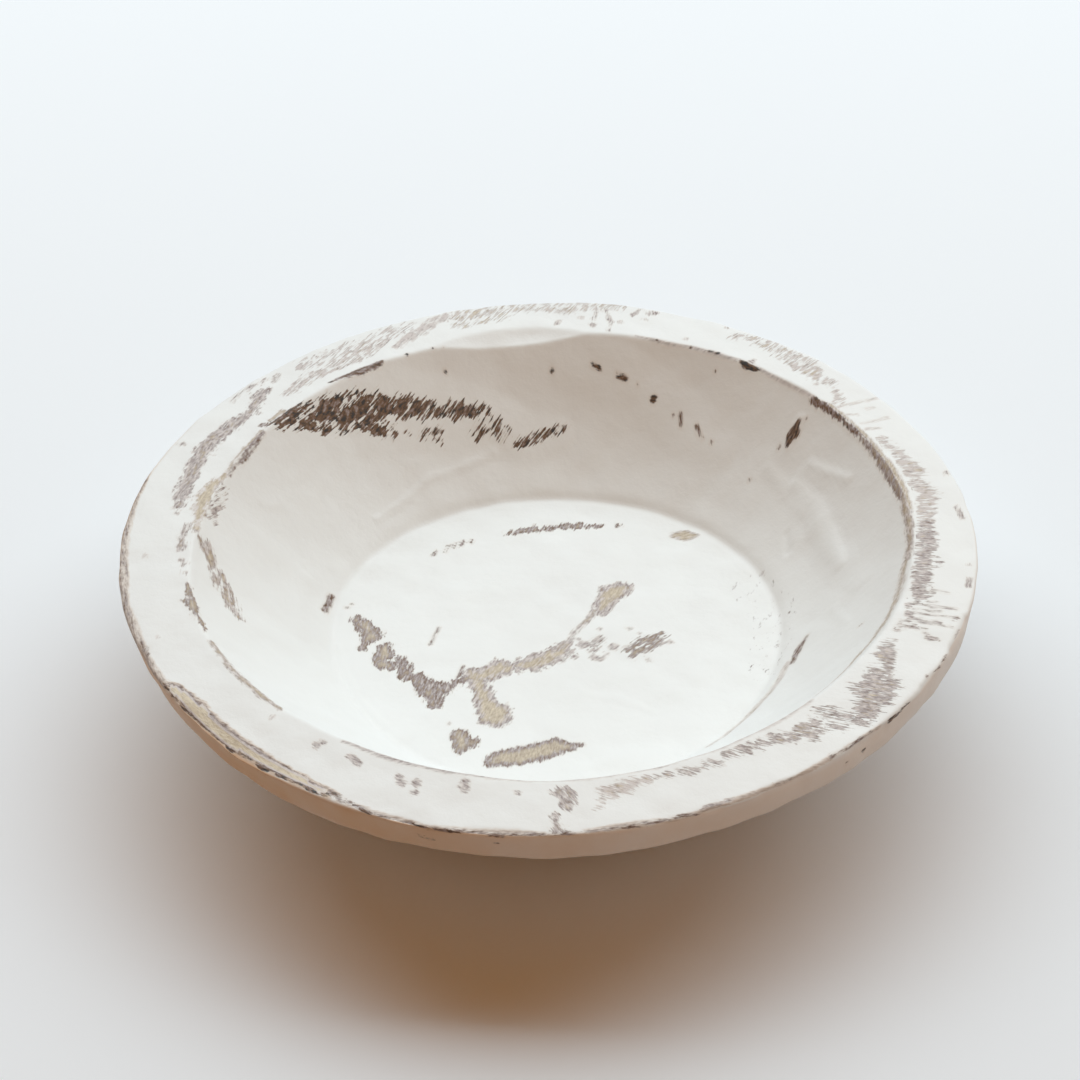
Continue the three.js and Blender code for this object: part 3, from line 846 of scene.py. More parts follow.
FLOOR_RUBS: tuple[Rub, ...] = (
    Rub("dashes at the back of the floor", combed=0.5, grain=65, depth=1.2, ragged=1.0, bare=1.9,
        stain=Stain.BROWN, paths=(
            ((-14, 55.3, 0.8), (-9, 56.4, 1.5), (-4, 57.5, 1.6), (1, 58, 1), (6, 58.8, 1.3),
             (11, 58.5, 1.5), (16, 58.3, 1.3), (20, 58, 0.8)), ((25.5, 57.8, 0.9),))),
    Rub("thin dashes at the back of the floor", grain=72, depth=0.6, ragged=0.4, stain=Stain.BROWN,
        paths=(
            ((-40.5, 44.6, 0.5), (-39.6, 47.4, 0.4)), ((-36.5, 46.4, 0.5), (-35.4, 49.6, 0.5)),
            ((-33.3, 48.6, 0.5), (-32.4, 51.4, 0.4)), ((-30.4, 49.6, 0.5), (-29.6, 52.4, 0.4)),
            ((-27.4, 50.8, 0.5), (-26.7, 53, 0.4)))),
    Rub("almond at the back of the floor", grain=20, depth=3, ragged=0.5, bare=0.6, paths=(
        ((45.5, 51.5, 1.4), (49, 51.5, 3), (52.5, 51.2, 1.4)),)),
    Rub("left chain, upper", combed=0.15, grain=80, depth=2.4, ragged=1.0, bare=1.8, stain=Stain.BROWN,
        paths=(
            ((-66.6, 10.6, 1.8), (-63.5, 6.5, 3.2), (-60.8, 1.7, 3.4)),
            ((-62.3, 0, 1.9), (-63.5, -5, 1.5)),
            ((-56.5, -4.7, 2.2), (-56.4, -8.6, 3.6), (-57.3, -12.2, 2.8), (-54.5, -14.8, 2.3)))),
    Rub("left chain, lower", combed=0.25, grain=78, depth=1.7, ragged=1.0, bare=2.5, stain=Stain.BROWN,
        paths=(
            ((-50.9, -11.9, 1.8), (-50, -14.2, 2.4), (-49, -19.6, 2.8)),
            ((-47, -20.5, 2.2), (-45, -21.5, 3), (-42.1, -25.9, 3.6), (-39.4, -28.3, 4.8),
             (-38.6, -34.7, 2.5)), ((-39.4, -28.3, 3.8), (-35.7, -27, 3), (-33.5, -26.3, 2.1)),
            ((-31.8, -24.2, 1.7), (-28, -21.5, 1.9)))),
    Rub("thin strokes on the floor", grain=73, depth=1, ragged=0.24, stain=Stain.BROWN, paths=(
        ((-33, -27, 0.6), (-29.5, -16, 0.5)), ((-41, -4, 0.5), (-38, 5, 0.5)), ((-34, -45, 0.5),))),
    Rub("fork", combed=0.2, grain=66, depth=4, ragged=1.0, bare=2.1, paths=(
        ((-27.4, -19.2, 2.3), (-24.9, -24.8, 3.4), (-23, -30.5, 3.2), (-21.5, -36.5, 4.2),
         (-19.1, -41, 6.2)),
        ((-26, -21, 3.2), (-21.5, -21, 3.5), (-17, -17.8, 4.5), (-13.6, -17.9, 2.4)),
        ((-11.6, -18.9, 1.7),))),
    Rub("fork's long branch", combed=0.2, grain=55, depth=3, ragged=1.1, bare=2.1, paths=(
        ((-9.5, -16.2, 3.3), (-5.6, -15.7, 4.4), (-1.6, -13.7, 4), (2.5, -10.1, 3.7),
         (5.6, -6.4, 2.3)),)),
    Rub("fork's thin branch", combed=0.6, grain=60, depth=1, ragged=0.6, bare=1.2, paths=(
        ((5.6, -6.4, 1), (7.7, -1.8, 0.7), (10.9, 3.5, 0.7), (14.6, 8, 1.1), (17.2, 11.8, 1.7)),)),
    Rub("streaks off the long branch", combed=0.9, grain=48, depth=0.1, ragged=1.1, paths=(
        ((2.4, -15, 1.1), (7.5, -10.3, 1.3)), ((14, -9, 1.4), (17, -4, 1)))),
    Rub("fork's bare head", combed=0.2, grain=65, depth=4, ragged=0.9, bare=2.1, paths=(
        ((18, 11, 2.7), (19.5, 15, 3.6), (22, 20, 4.9), (26, 23, 3.5)),)),
    Rub("flecks on the floor", combed=0.7, grain=42, depth=0.6, ragged=0.48, paths=(
        ((8, -13, 1),), ((11.5, -7, 1.8),), ((10, -4, 0.8),), ((15, -7.5, 0.7),), ((15, -14, 1.5),),
        ((13, -10, 0.7),), ((17, -15, 0.6), (19, -12, 0.6)), ((21.5, -8.5, 1.8),), ((26, -9, 0.6),),
        ((17, 1, 0.8),), ((27, 0.5, 0.8),), ((30.5, -2.5, 0.7),), ((38, -8, 0.5), (41, -7, 0.5)),
        ((33, -16, 0.8),))),
    Rub("right fleck on the floor", combed=0.7, grain=45, depth=0.6, ragged=1.3, bare=1.4,
        stain=Stain.BROWN, paths=(
            ((28, -11.5, 2.4), (31, -8.5, 3.4), (35, -6, 2.8), (38, -3.5, 1.4)),)),
    Rub("blob at the front of the floor", combed=0.3, grain=75, depth=3.6, ragged=1.0, bare=1.5,
        stain=Stain.BROWN, paths=(
            ((-30.7, -50.4, 2.6), (-29.7, -55.4, 3.3), (-27, -54.6, 2.2)), ((-25.2, -53.5, 1.4),))),
    Rub("long bare patch at the front of the floor", combed=0.3, grain=78, depth=4, ragged=0.6,
        bare=1.8, stain=Stain.BROWN, paths=(
            ((-19.7, -63.2, 3), (-15.8, -61.9, 4.1), (-10.1, -61.2, 4.3), (-4.4, -59.5, 4.4),
             (0.9, -57.6, 4.1), (6.1, -57.9, 2), (9, -57.3, 0.9)),)),
    Rub("specks at the floor's right edge", combed=0.0, grain=60, depth=-1.3, ragged=1.0, thin=0.0,
        paths=(
            ((70, 22, 6), (76, 6, 7), (76, -9, 6), (72, -24, 5)),)),
    Rub("dark lens at the floor's right edge", grain=61, depth=1.2, ragged=0.24, stain=Stain.BROWN,
        paths=(
            ((86, -16, 0.4), (83, -20, 1.2), (80.5, -26, 0.7)),)),
    Rub("crease at the floor's right edge", grain=50, depth=0.2, ragged=0.27, bare=0.9,
        stain=Stain.PALE, paths=(
            ((80.5, -26, 0.6), (79, -25, 0.6), (75, -33, 0.7), (70, -40, 0.7), (63, -48, 0.7),
             (55, -57, 0.6), (50, -61, 0.5)),)),
)

EDGE_RUBS: tuple[Rub, ...] = (
    Rub("bare strip along the bevel", grain=-48, depth=3, ragged=0.35, bare=-2.0, stain=Stain.BLEACHED,
        paths=(
            around((-148.4, 137.2, 1.5), (-145.7, 136.5, 2), (-142.4, 136.4, 2.1), (-139, 136.4, 2),
                   (-136, 136.4, 1.9), (-133, 136.4, 1.8), (-128, 136.7, 1.6), (-124, 137.3, 1.4),
                   (-120, 138.3, 1.1)),)),
    Rub("brown border of the bevel", combed=0.1, grain=-30, depth=0.8, ragged=0.4, stain=Stain.BROWN,
        thin=0.8, paths=(
            around((-150, 138.5, 0.7), (-148.5, 136.2, 0.9), (-145, 134.5, 0.8), (-140, 134.6, 0.7),
                   (-134, 134.9, 0.7), (-128, 135.4, 0.7), (-123, 136.3, 0.6), (-118, 137.8, 0.5)),)),
    # Partly a stained line and partly painted shade: the reddish brown where the bevel turns down into the
    # shaded side
    Rub("red-brown line outside the bevel", combed=0.1, grain=-40, depth=0.3, ragged=0.3,
        stain=Stain.DEEP, thin=1.0, paths=(
            around((-150.5, 139.6, 0.4), (-145, 139, 0.5), (-138, 138.8, 0.5), (-130, 138.7, 0.5),
                   (-124, 139, 0.5), (-118.5, 139.6, 0.4)),)),
    Rub("dark dashes along the front left edge", grain=-40, depth=0.9, ragged=0.3, stain=Stain.DARK,
        paths=(
            around((-135.3, 139.2, 0.6), (-134, 139.2, 0.6)),
            around((-129.4, 139.2, 0.8), (-128, 139.2, 0.7)),
            around((-126.4, 139.2, 0.8), (-125, 139.2, 0.7)),
            around((-121.6, 139.6, 0.8), (-120, 139.7, 0.7)), around((-116.5, 139.8, 0.7)),
            around((-113.8, 140.5, 0.8), (-112.6, 140.8, 0.7)),
            around((-107.2, 141.8, 0.9), (-105.2, 142, 0.8)),
            around((-103, 142.2, 0.7), (-101.8, 142.2, 0.6)),
            around((-106.8, 147, 0.8), (-105.6, 147, 0.7)))),
    Rub("spots along the front left edge", grain=-30, depth=0.7, ragged=0.5, stain=Stain.BROWN, paths=(
        around((-115.7, 139.2, 0.9)), around((-113.3, 140.6, 0.7)), around((-117.5, 138.4, 0.6)))),
    # Painted shade: a thin brown line along the front edge, where the top turns down into the shaded side
    Rub("ragged line along the front edge", combed=0.2, grain=0, depth=0.1, ragged=0.6,
        stain=Stain.BROWN, paths=(
            around((-118, 138.8, 0.5), (-112, 141, 0.5), (-105, 142, 0.6), (-97, 141.6, 0.5),
                   (-90, 141.4, 0.6), (-80, 141, 0.5), (-73, 141, 0.5)),)),
    Rub("dents along the front edge", combed=0.3, grain=0, depth=0.4, ragged=0.5, stain=Stain.BROWN,
        paths=(
            around((-107.5, 142, 0.5), (-105.8, 142.2, 0.7), (-103, 142.3, 0.6)),
            around((-98, 142.3, 0.5), (-96, 142.3, 0.5)), around((-76.3, 141, 0.6)),
            around((-105.6, 148.4, 0.6), (-104.7, 148.6, 0.6)), around((-97, 146.1, 0.6)))),
    Rub("pale dents along the front edge", combed=0.3, grain=12, depth=0.3, ragged=0.7, paths=(
        around((-71.8, 139.4, 0.7), (-68.5, 139.4, 0.8)),
        around((-61.8, 139.7, 0.5), (-60, 139.9, 0.5)))),
    Rub("front right edge", combed=0.3, grain=35, depth=0.5, ragged=0.5, stain=Stain.BROWN, paths=(
        around((-53.5, 139.8, 0.6), (-50.5, 140.2, 0.6), (-48.3, 140.4, 0.9)),
        around((-46.7, 140.1, 0.5)), around((-33.9, 139.8, 0.4)),
        around((-32.3, 141.4, 0.4), (-30.5, 141.7, 0.6), (-28.8, 141.4, 0.4)))),
    Rub("dark nick at the front right edge", grain=35, depth=1, ragged=0.4, stain=Stain.DARK, paths=(
        around((-43.3, 141.8, 0.7), (-41.5, 141.6, 0.6), (-39, 141.4, 0.3)),)),
    Rub("pale nick at the right edge", grain=35, depth=0.2, ragged=0.5, paths=(
        around((-25, 141.1, 0.5), (-23.5, 141.2, 0.4)),)),
    Rub("spots on the front right side", grain=35, depth=1.2, ragged=0.3, stain=Stain.DARK, paths=(
        around((-48, 146.8, 1.2)), around((-50.9, 147, 0.9)))),
    Rub("worn arris along the front", grain=0, depth=-0.15, ragged=0.25, combed=0.4, thin=0.65, paths=(
        around((-117, 139.8, 0.5), (-105, 141.9, 0.7), (-90, 141.8, 0.7), (-75, 141.4, 0.6),
               (-60, 141, 0.5), (-45, 141.2, 0.5)),)),
    # Partly a worn edge and partly painted shade: the warm, shaded side seen edge-on along the left
    Rub("left edge", combed=0.2, grain=100, depth=0.0, ragged=0.3, stain=Stain.BROWN, thin=0.6, paths=(
        ((-137, 42, 0.9), (-140.5, 20, 1.2), (-141, 0, 1.5), (-138, -28, 1.8), (-129, -55, 1.8),
         (-121, -70, 1.3)),)),
    Rub("notch at the left edge", grain=60, depth=0.8, ragged=0.3, stain=Stain.BROWN, paths=(
        around((-157.6, 139.4, 0.5), (-157.9, 137.2, 0.4)),
        around((-156.3, 139.4, 0.5), (-156.7, 138, 0.4)))),
)

# The turn and the folded-out radius of each streak on the outer wall
OUTER_STREAKS: tuple[tuple[float, float], ...] = (
    (-168, 172), (-131, 186), (-97, 170), (-61, 183), (-24, 172),
    (17, 188), (49, 171), (86, 184), (118, 172), (151, 187))

# The foot's worn ring is uneven because its half width goes by the sine of the bare number of degrees
OUTER_RUBS: tuple[Rub, ...] = tuple(
    Rub(f"streaks on the outer wall at {turn} degrees", combed=0.85, grain=turn + 82, depth=-0.1,
        ragged=1.5, paths=(
            around((turn - 13, way, 2.5), (turn - 2, way + 3, 5), (turn + 12, way + 1, 2.5)),))
    for turn, way in OUTER_STREAKS
) + (
    Rub("worn edge of the foot", combed=0.2, grain=0, depth=0.2, ragged=1.0, paths=(
        around(*((turn, 218.5, 1.5 + 0.8 * math.sin(turn)) for turn in range(-180, 181, 6))),)),
)

ALL_RUBS: tuple[Rub, ...] = RIM_RUBS + LIP_RUBS + WALL_RUBS + FLOOR_RUBS + EDGE_RUBS + OUTER_RUBS


@dataclass(frozen=True)
class PaintedSideShade:
    """The rim's side and the wall below it, tinted warm and darker as painted shade: the shadow and warm
    bounce that fall there.

    The share of painted shade goes by the turn, rises over the edge, which the bevel moves inwards, and
    falls again down the outer wall.
    """

    turns: tuple[float, ...] = (-180, -115, -100, -85, -65, -50, -35, -20, 150, 165)
    shares: tuple[float, ...] = (0.8, 0.86, 0.72, 0.56, 0.5, 0.41, 0.34, 0.27, 0.27, 0.48)
    edge: float = 141.8
    bevel_turn: float = -136.0
    bevel_spread: float = 16.0
    bevel_shift: float = 2.6
    rise: float = 1.8
    wall: float = 152.0
    fall: float = 30.0
    least: float = 0.3

    def share(self, plan: Array) -> Array:
        """The share of painted shade: by turn x smooth rise x (1 - (1 - least) smooth fall).

        Args:
            plan: points of the folded-out plan as rows of x and y.

        Returns:
            The share at each point.
        """
        radius = np.linalg.norm(plan, axis=1)
        turn = np.degrees(np.arctan2(plan[:, 1], plan[:, 0]))
        edge = self.edge - self.bevel_shift * np.exp(-((turn - self.bevel_turn) / self.bevel_spread) ** 2)
        rise = np.clip((radius - edge) / self.rise + 0.5, 0, 1)
        fall = np.clip((radius - self.wall) / self.fall, 0, 1)
        rise, fall = (part * part * (3 - 2 * part) for part in (rise, fall))
        return np.interp(turn, self.turns, self.shares, period=360) * rise * (1 - (1 - self.least) * fall)


@dataclass
class Wear:
    """What the finish reads of the wear and of the painted shade on the rim's side, one value for each
    point of the surface.

    The reach is how far outside a rub its say goes, in millimetres.
    """

    depth: Array
    ragged: Array
    bare: Array
    stain: Array
    combed: Array
    grain: Array
    thin: Array
    # side_shade is the share of painted shade on the rim's side and outer wall
    side_shade: Array

    REACH: ClassVar[float] = 8.0

    @classmethod
    def untouched(cls, count: int) -> "Wear":
        """Sound paint on every point."""
        start = {"depth": -cls.REACH, "ragged": 0.5, "bare": NEVER, "stain": Stain.BROWN.value,
                 "combed": 0.5, "grain": 0.0, "thin": 0.0, "side_shade": 0.0}
        return cls(**{name: np.full(count, value) for name, value in start.items()})

    def rub(self, plan: Array, rub: Rub) -> None:
        """Adds one rub: at each point the rub that goes deepest there has the say.

        Args:
            plan: points of the folded-out plan as rows of x and y.
            rub: the rub to add.
        """
        for path in rub.paths:
            corners = np.array(path)
            margin = self.REACH + corners[:, 2].max()
            low, high = corners[:, :2].min(axis=0) - margin, corners[:, :2].max(axis=0) + margin
            near = np.flatnonzero(((plan > low) & (plan < high)).all(axis=1))
            depth = np.minimum(inside_path(plan[near], path), rub.depth)
            deeper = depth > self.depth[near]
            chosen = near[deeper]
            self.depth[chosen] = depth[deeper]
            self.ragged[chosen] = rub.ragged
            self.bare[chosen] = rub.bare
            self.stain[chosen] = rub.stain.value
            self.combed[chosen] = rub.combed
            self.grain[chosen] = rub.grain
            self.thin[chosen] = rub.thin


@dataclass(frozen=True)
class RubbedPaint:
    """Chalk paint brushed over oak-stained hardwood and sanded through by hand.

    The paint is matt and nearly white, a little mottled and softly lumpy. Where it is
    rubbed through, streaks of brown stain show with a paint edge that can be felt, and in the
    middle of the worst places the bare, tan wood. Sizes and rises are real ones in millimetres, a
    gain is what a noise is multiplied by, and a span is where a step between two looks starts and
    ends.
    """

    name: str = "chalk_paint_over_stained_wood"
    paint: str = "#eaeae7"
    paint_thick: str = "#e4e3e0"
    paint_thin: str = "#cdb8a4"
    # The warm colour of the painted shade on the rim's side
    paint_side_shade: str = "#d5ac83"
    stain_pale: str = "#cabfb9"
    stain_brown: str = "#928480"
    stain_deep: str = "#6a4a2e"
    stain_dark: str = "#2a211a"
    wood_light: str = "#d2c4ab"
    wood_dark: str = "#937f6d"
    streak_size: tuple[float, float] = (7.0, 0.6)
    streak_gain: float = 6.0
    blob_size: tuple[float, float] = (4.5, 2.2)
    blob_gain: float = 5.0
    blob_in_comb: float = 0.85
    nibble_size: tuple[float, float] = (1.7, 0.6)
    nibble_gain: float = 2.6
    patch_size: tuple[float, float] = (3.2, 1.0)
    patch_gain: float = 2.6
    soft_edge: float = 0.9
    crisp_edge: float = 0.33
    crisp_tone: float = 0.7
    thin_reach: float = 1.2
    side_shade_base: float = 0.5
    bare_patch: float = 1.6
    bare_span: tuple[float, float] = (-0.9, 1.1)
    stain_nibble: float = 0.32
    stain_patch: float = 0.52
    stain_steps: tuple[float, ...] = (0.0, 0.45, 0.75, 1.05)
    fibre_span: tuple[float, float] = (-0.8, 1.7)
    fibre_rise: float = 0.05
    mottle_size: float = 30.0
    lump_size: float = 7.0
    lump_rise: float = 0.24
    grit_size: float = 2.5
    grit_rise: float = 0.06
    chalk_size: float = 0.8
    chalk_rise: float = 0.04
    film: float = 0.12
    paint_roughness: float = 0.62
    wood_roughness: float = 0.5
    refraction: float = 1.48

    def build(self) -> bpy.types.Material:
        """Makes the material.

        Returns:
            The finished material.
        """
        material = bpy.data.materials.new(self.name)
        material.use_nodes = True
        tree = material.node_tree
        tree.nodes.clear()
        nibble = self.streaks(tree, self.nibble_size, self.nibble_gain)
        patch = self.streaks(tree, self.patch_size, self.patch_gain)
        depth = self.torn_depth(tree, nibble)
        worn = self.worn_share(tree, depth)
        paint = self.paint_colour(tree, depth)
        under = add_node(tree, "ShaderNodeMix", {
            0: self.bare_share(tree, depth, patch), 6: self.stain_colour(tree, nibble, patch),
            7: self.wood_colour(tree, nibble, patch)}, 2, data_type="RGBA")
        colour = add_node(tree, "ShaderNodeMix", {0: worn, 6: paint, 7: under}, 2, data_type="RGBA")
        bump = add_node(tree, "ShaderNodeBump", {
            "Height": self.relief(tree, worn, nibble), "Distance": MM, "Strength": 1.0})
        roughness = add_node(tree, "ShaderNodeMapRange", {
            "Value": worn, "To Min": self.paint_roughness, "To Max": self.wood_roughness})
        shader = add_node(tree, "ShaderNodeBsdfPrincipled", {
            "Base Color": colour, "Roughness": roughness, "Normal": bump, "IOR": self.refraction})
        add_node(tree, "ShaderNodeOutputMaterial", {"Surface": shader})
        return material

    def streaks(self, tree: Tree, size: tuple[float, float], gain: float) -> Socket:
        """Noise drawn out along the sanding, about nought.

        Args:
            tree: the material's tree.
            size: the streaks' length and width in millimetres.
            gain: what the noise is multiplied by.

        Returns:
            The noise's socket.
        """
        along = add_node(tree, "ShaderNodeUVMap", {}, uv_map="Sanding")
        scaled = add_node(tree, "ShaderNodeMapping", {
            "Vector": along, "Scale": (1 / (MM * size[0]), 1 / (MM * size[1]), 1)})
        noise = add_node(tree, "ShaderNodeTexNoise", {
            "Vector": scaled, "Scale": 1.0, "Detail": 2.5, "Roughness": 0.55}, noise_dimensions="2D")
        centred = add_node(tree, "ShaderNodeMath", {0: noise, 1: 0.5}, operation="SUBTRACT")
        return add_node(tree, "ShaderNodeMath", {0: centred, 1: gain}, operation="MULTIPLY")

    def torn_depth(self, tree: Tree, nibble: Socket) -> Socket:
        """How deep the wear is in millimetres.

        That is the rub's depth plus its raggedness times a mix of two patterns, by how combed it is:
        blotches with nibbles, and long streaks with fewer blotches.

        Args:
            tree: the material's tree.
            nibble: fine streaks about nought.

        Returns:
            The depth's socket, whose nought is the edge of the paint.
        """
        depth, ragged, combed = (add_node(tree, "ShaderNodeAttribute", {}, "Fac", attribute_name=name)
                                 for name in ("wear", "ragged", "combed"))
        streak = self.streaks(tree, self.streak_size, self.streak_gain)
        blob = self.streaks(tree, self.blob_size, self.blob_gain)
        blotch = add_node(tree, "ShaderNodeMath", {0: blob, 1: nibble}, operation="ADD")
        comb = add_node(tree, "ShaderNodeMath", {0: blob, 1: self.blob_in_comb, 2: streak},
                        operation="MULTIPLY_ADD")
        teeth = add_node(tree, "ShaderNodeMix", {"Factor": combed, "A": blotch, "B": comb})
        return add_node(tree, "ShaderNodeMath", {0: teeth, 1: ragged, 2: depth},
                        operation="MULTIPLY_ADD")

    def worn_share(self, tree: Tree, depth: Socket) -> Socket:
        """How much of the paint is gone: a soft step at the paint's edge, crisper where the stain is dark.

        Args:
            tree: the material's tree.
            depth: the torn depth.

        Returns:
            The share's socket.
        """
        tone = add_node(tree, "ShaderNodeAttribute", {}, "Fac", attribute_name="stain")
        soft = add_node(tree, "ShaderNodeMapRange", {
            "Value": tone, "From Min": 0.0, "From Max": self.crisp_tone,
            "To Min": self.soft_edge, "To Max": self.crisp_edge})
        start = add_node(tree, "ShaderNodeMath", {0: soft, 1: -1.0}, operation="MULTIPLY")
        return add_node(tree, "ShaderNodeMapRange", {
            "Value": depth, "From Min": start, "From Max": soft}, interpolation_type="SMOOTHSTEP")

    def bare_share(self, tree: Tree, depth: Socket, patch: Socket) -> Socket:
        """Where the stain is gone too: past the rub's bare depth, in patches.

        Args:
            tree: the material's tree.
            depth: the torn depth.
            patch: short streaks about nought.

        Returns:
            The share's socket.
        """
        limit = add_node(tree, "ShaderNodeAttribute", {}, "Fac", attribute_name="bare")
        patchy = add_node(tree, "ShaderNodeMath", {0: patch, 1: self.bare_patch, 2: depth},
                          operation="MULTIPLY_ADD")
        beyond = add_node(tree, "ShaderNodeMath", {0: patchy, 1: limit}, operation="SUBTRACT")
        return add_node(tree, "ShaderNodeMapRange", {
            "Value": beyond, "From Min": self.bare_span[0], "From Max": self.bare_span[1]},
            interpolation_type="SMOOTHSTEP")

    def paint_colour(self, tree: Tree, depth: Socket) -> Socket:
        """The paint: a little mottled, thinner next to a rub, and tinted warm and darker on the rim's side
        as painted shade.

        Args:
            tree: the material's tree.
            depth: the torn depth.

        Returns:
            The colour's socket.
        """
        place = add_node(tree, "ShaderNodeTexCoord", {}, "Object")
        mottle = add_node(tree, "ShaderNodeTexNoise", {
            "Vector": place, "Scale": 1 / (MM * self.mottle_size), "Detail": 4.0, "Roughness": 0.6})
        paint = add_node(tree, "ShaderNodeMix", {
            0: mottle, 6: linear(self.paint), 7: linear(self.paint_thick)}, 2, data_type="RGBA")
        most = add_node(tree, "ShaderNodeAttribute", {}, "Fac", attribute_name="thin")
        thin = add_node(tree, "ShaderNodeMapRange", {
            "Value": depth, "From Min": -self.thin_reach, "From Max": 0.0, "To Max": most},
            interpolation_type="SMOOTHSTEP")
        # Painted shade on the rim's side, a little uneven with the mottle
        side_shade = add_node(tree, "ShaderNodeAttribute", {}, "Fac", attribute_name="side_shade")
        uneven = add_node(tree, "ShaderNodeMath", {0: mottle, 1: self.side_shade_base}, operation="ADD")
        side_shade = add_node(tree, "ShaderNodeMath", {0: side_shade, 1: uneven}, operation="MULTIPLY")
        paint = add_node(tree, "ShaderNodeMix", {
            0: thin, 6: paint, 7: linear(self.paint_thin)}, 2, data_type="RGBA")
        return add_node(tree, "ShaderNodeMix", {
            0: side_shade, 6: paint, 7: linear(self.paint_side_shade)}, 2, data_type="RGBA")

    def stain_colour(self, tree: Tree, nibble: Socket, patch: Socket) -> Socket:
        """The stain: from worn pale through brown to dark, by the rub's tone and in patches.

        Args:
            tree: the material's tree.
            nibble: fine streaks about nought.
            patch: short streaks about nought.

        Returns:
            The colour's socket.
        """
        tone = add_node(tree, "ShaderNodeAttribute", {}, "Fac", attribute_name="stain")
        tone = add_node(tree, "ShaderNodeMath", {0: nibble, 1: self.stain_nibble, 2: tone},
                        operation="MULTIPLY_ADD")
        tone = add_node(tree, "ShaderNodeMath", {0: patch, 1: self.stain_patch, 2: tone},
                        operation="MULTIPLY_ADD")
        colour = linear(self.stain_pale)
        shades = (self.stain_brown, self.stain_deep, self.stain_dark)
        for low, high, darker in zip(self.stain_steps, self.stain_steps[1:], shades):
            share = add_node(tree, "ShaderNodeMapRange", {
                "Value": tone, "From Min": low, "From Max": high})
            colour = add_node(tree, "ShaderNodeMix", {
                0: share, 6: colour, 7: linear(darker)}, 2, data_type="RGBA")
        return colour

    def wood_colour(self, tree: Tree, nibble: Socket, patch: Socket) -> Socket:
        """The bare wood: pale tan with darker fibres, the more so the darker the stain was.

        Args:
            tree: the material's tree.
            nibble: fine streaks about nought.
            patch: short streaks about nought.

        Returns:
            The colour's socket.
        """
        tone = add_node(tree, "ShaderNodeAttribute", {}, "Fac", attribute_name="stain")
        both = add_node(tree, "ShaderNodeMath", {0: nibble, 1: patch}, operation="ADD")
        both = add_node(tree, "ShaderNodeMath", {0: tone, 1: both}, operation="ADD")
        fibre = add_node(tree, "ShaderNodeMapRange", {
            "Value": both, "From Min": self.fibre_span[0], "From Max": self.fibre_span[1]})
        return add_node(tree, "ShaderNodeMix", {
            0: fibre, 6: linear(self.wood_light), 7: linear(self.wood_dark)}, 2, data_type="RGBA")

    def relief(self, tree: Tree, worn: Socket, nibble: Socket) -> Socket:
        """The fine relief in millimetres: the paint film's edge, soft lumps, grit, chalk and wood fibres.

        Args:
            tree: the material's tree.
            worn: where the paint is gone.
            nibble: fine streaks about nought.

        Returns:
            The height's socket.
        """
        place = add_node(tree, "ShaderNodeTexCoord", {}, "Object")
        height = add_node(tree, "ShaderNodeMath", {0: worn, 1: -self.film}, operation="MULTIPLY")
        layers = ((self.lump_size, self.lump_rise), (self.grit_size, self.grit_rise),
                  (self.chalk_size, self.chalk_rise))
        for size, rise in layers:
            grain = add_node(tree, "ShaderNodeTexNoise", {
                "Vector": place, "Scale": 1 / (MM * size), "Detail": 2.0, "Roughness": 0.5})
            height = add_node(tree, "ShaderNodeMath", {0: grain, 1: rise, 2: height},
                              operation="MULTIPLY_ADD")
        fibre = add_node(tree, "ShaderNodeMath", {0: nibble, 1: worn}, operation="MULTIPLY")
        return add_node(tree, "ShaderNodeMath", {0: fibre, 1: self.fibre_rise, 2: height},
                        operation="MULTIPLY_ADD")


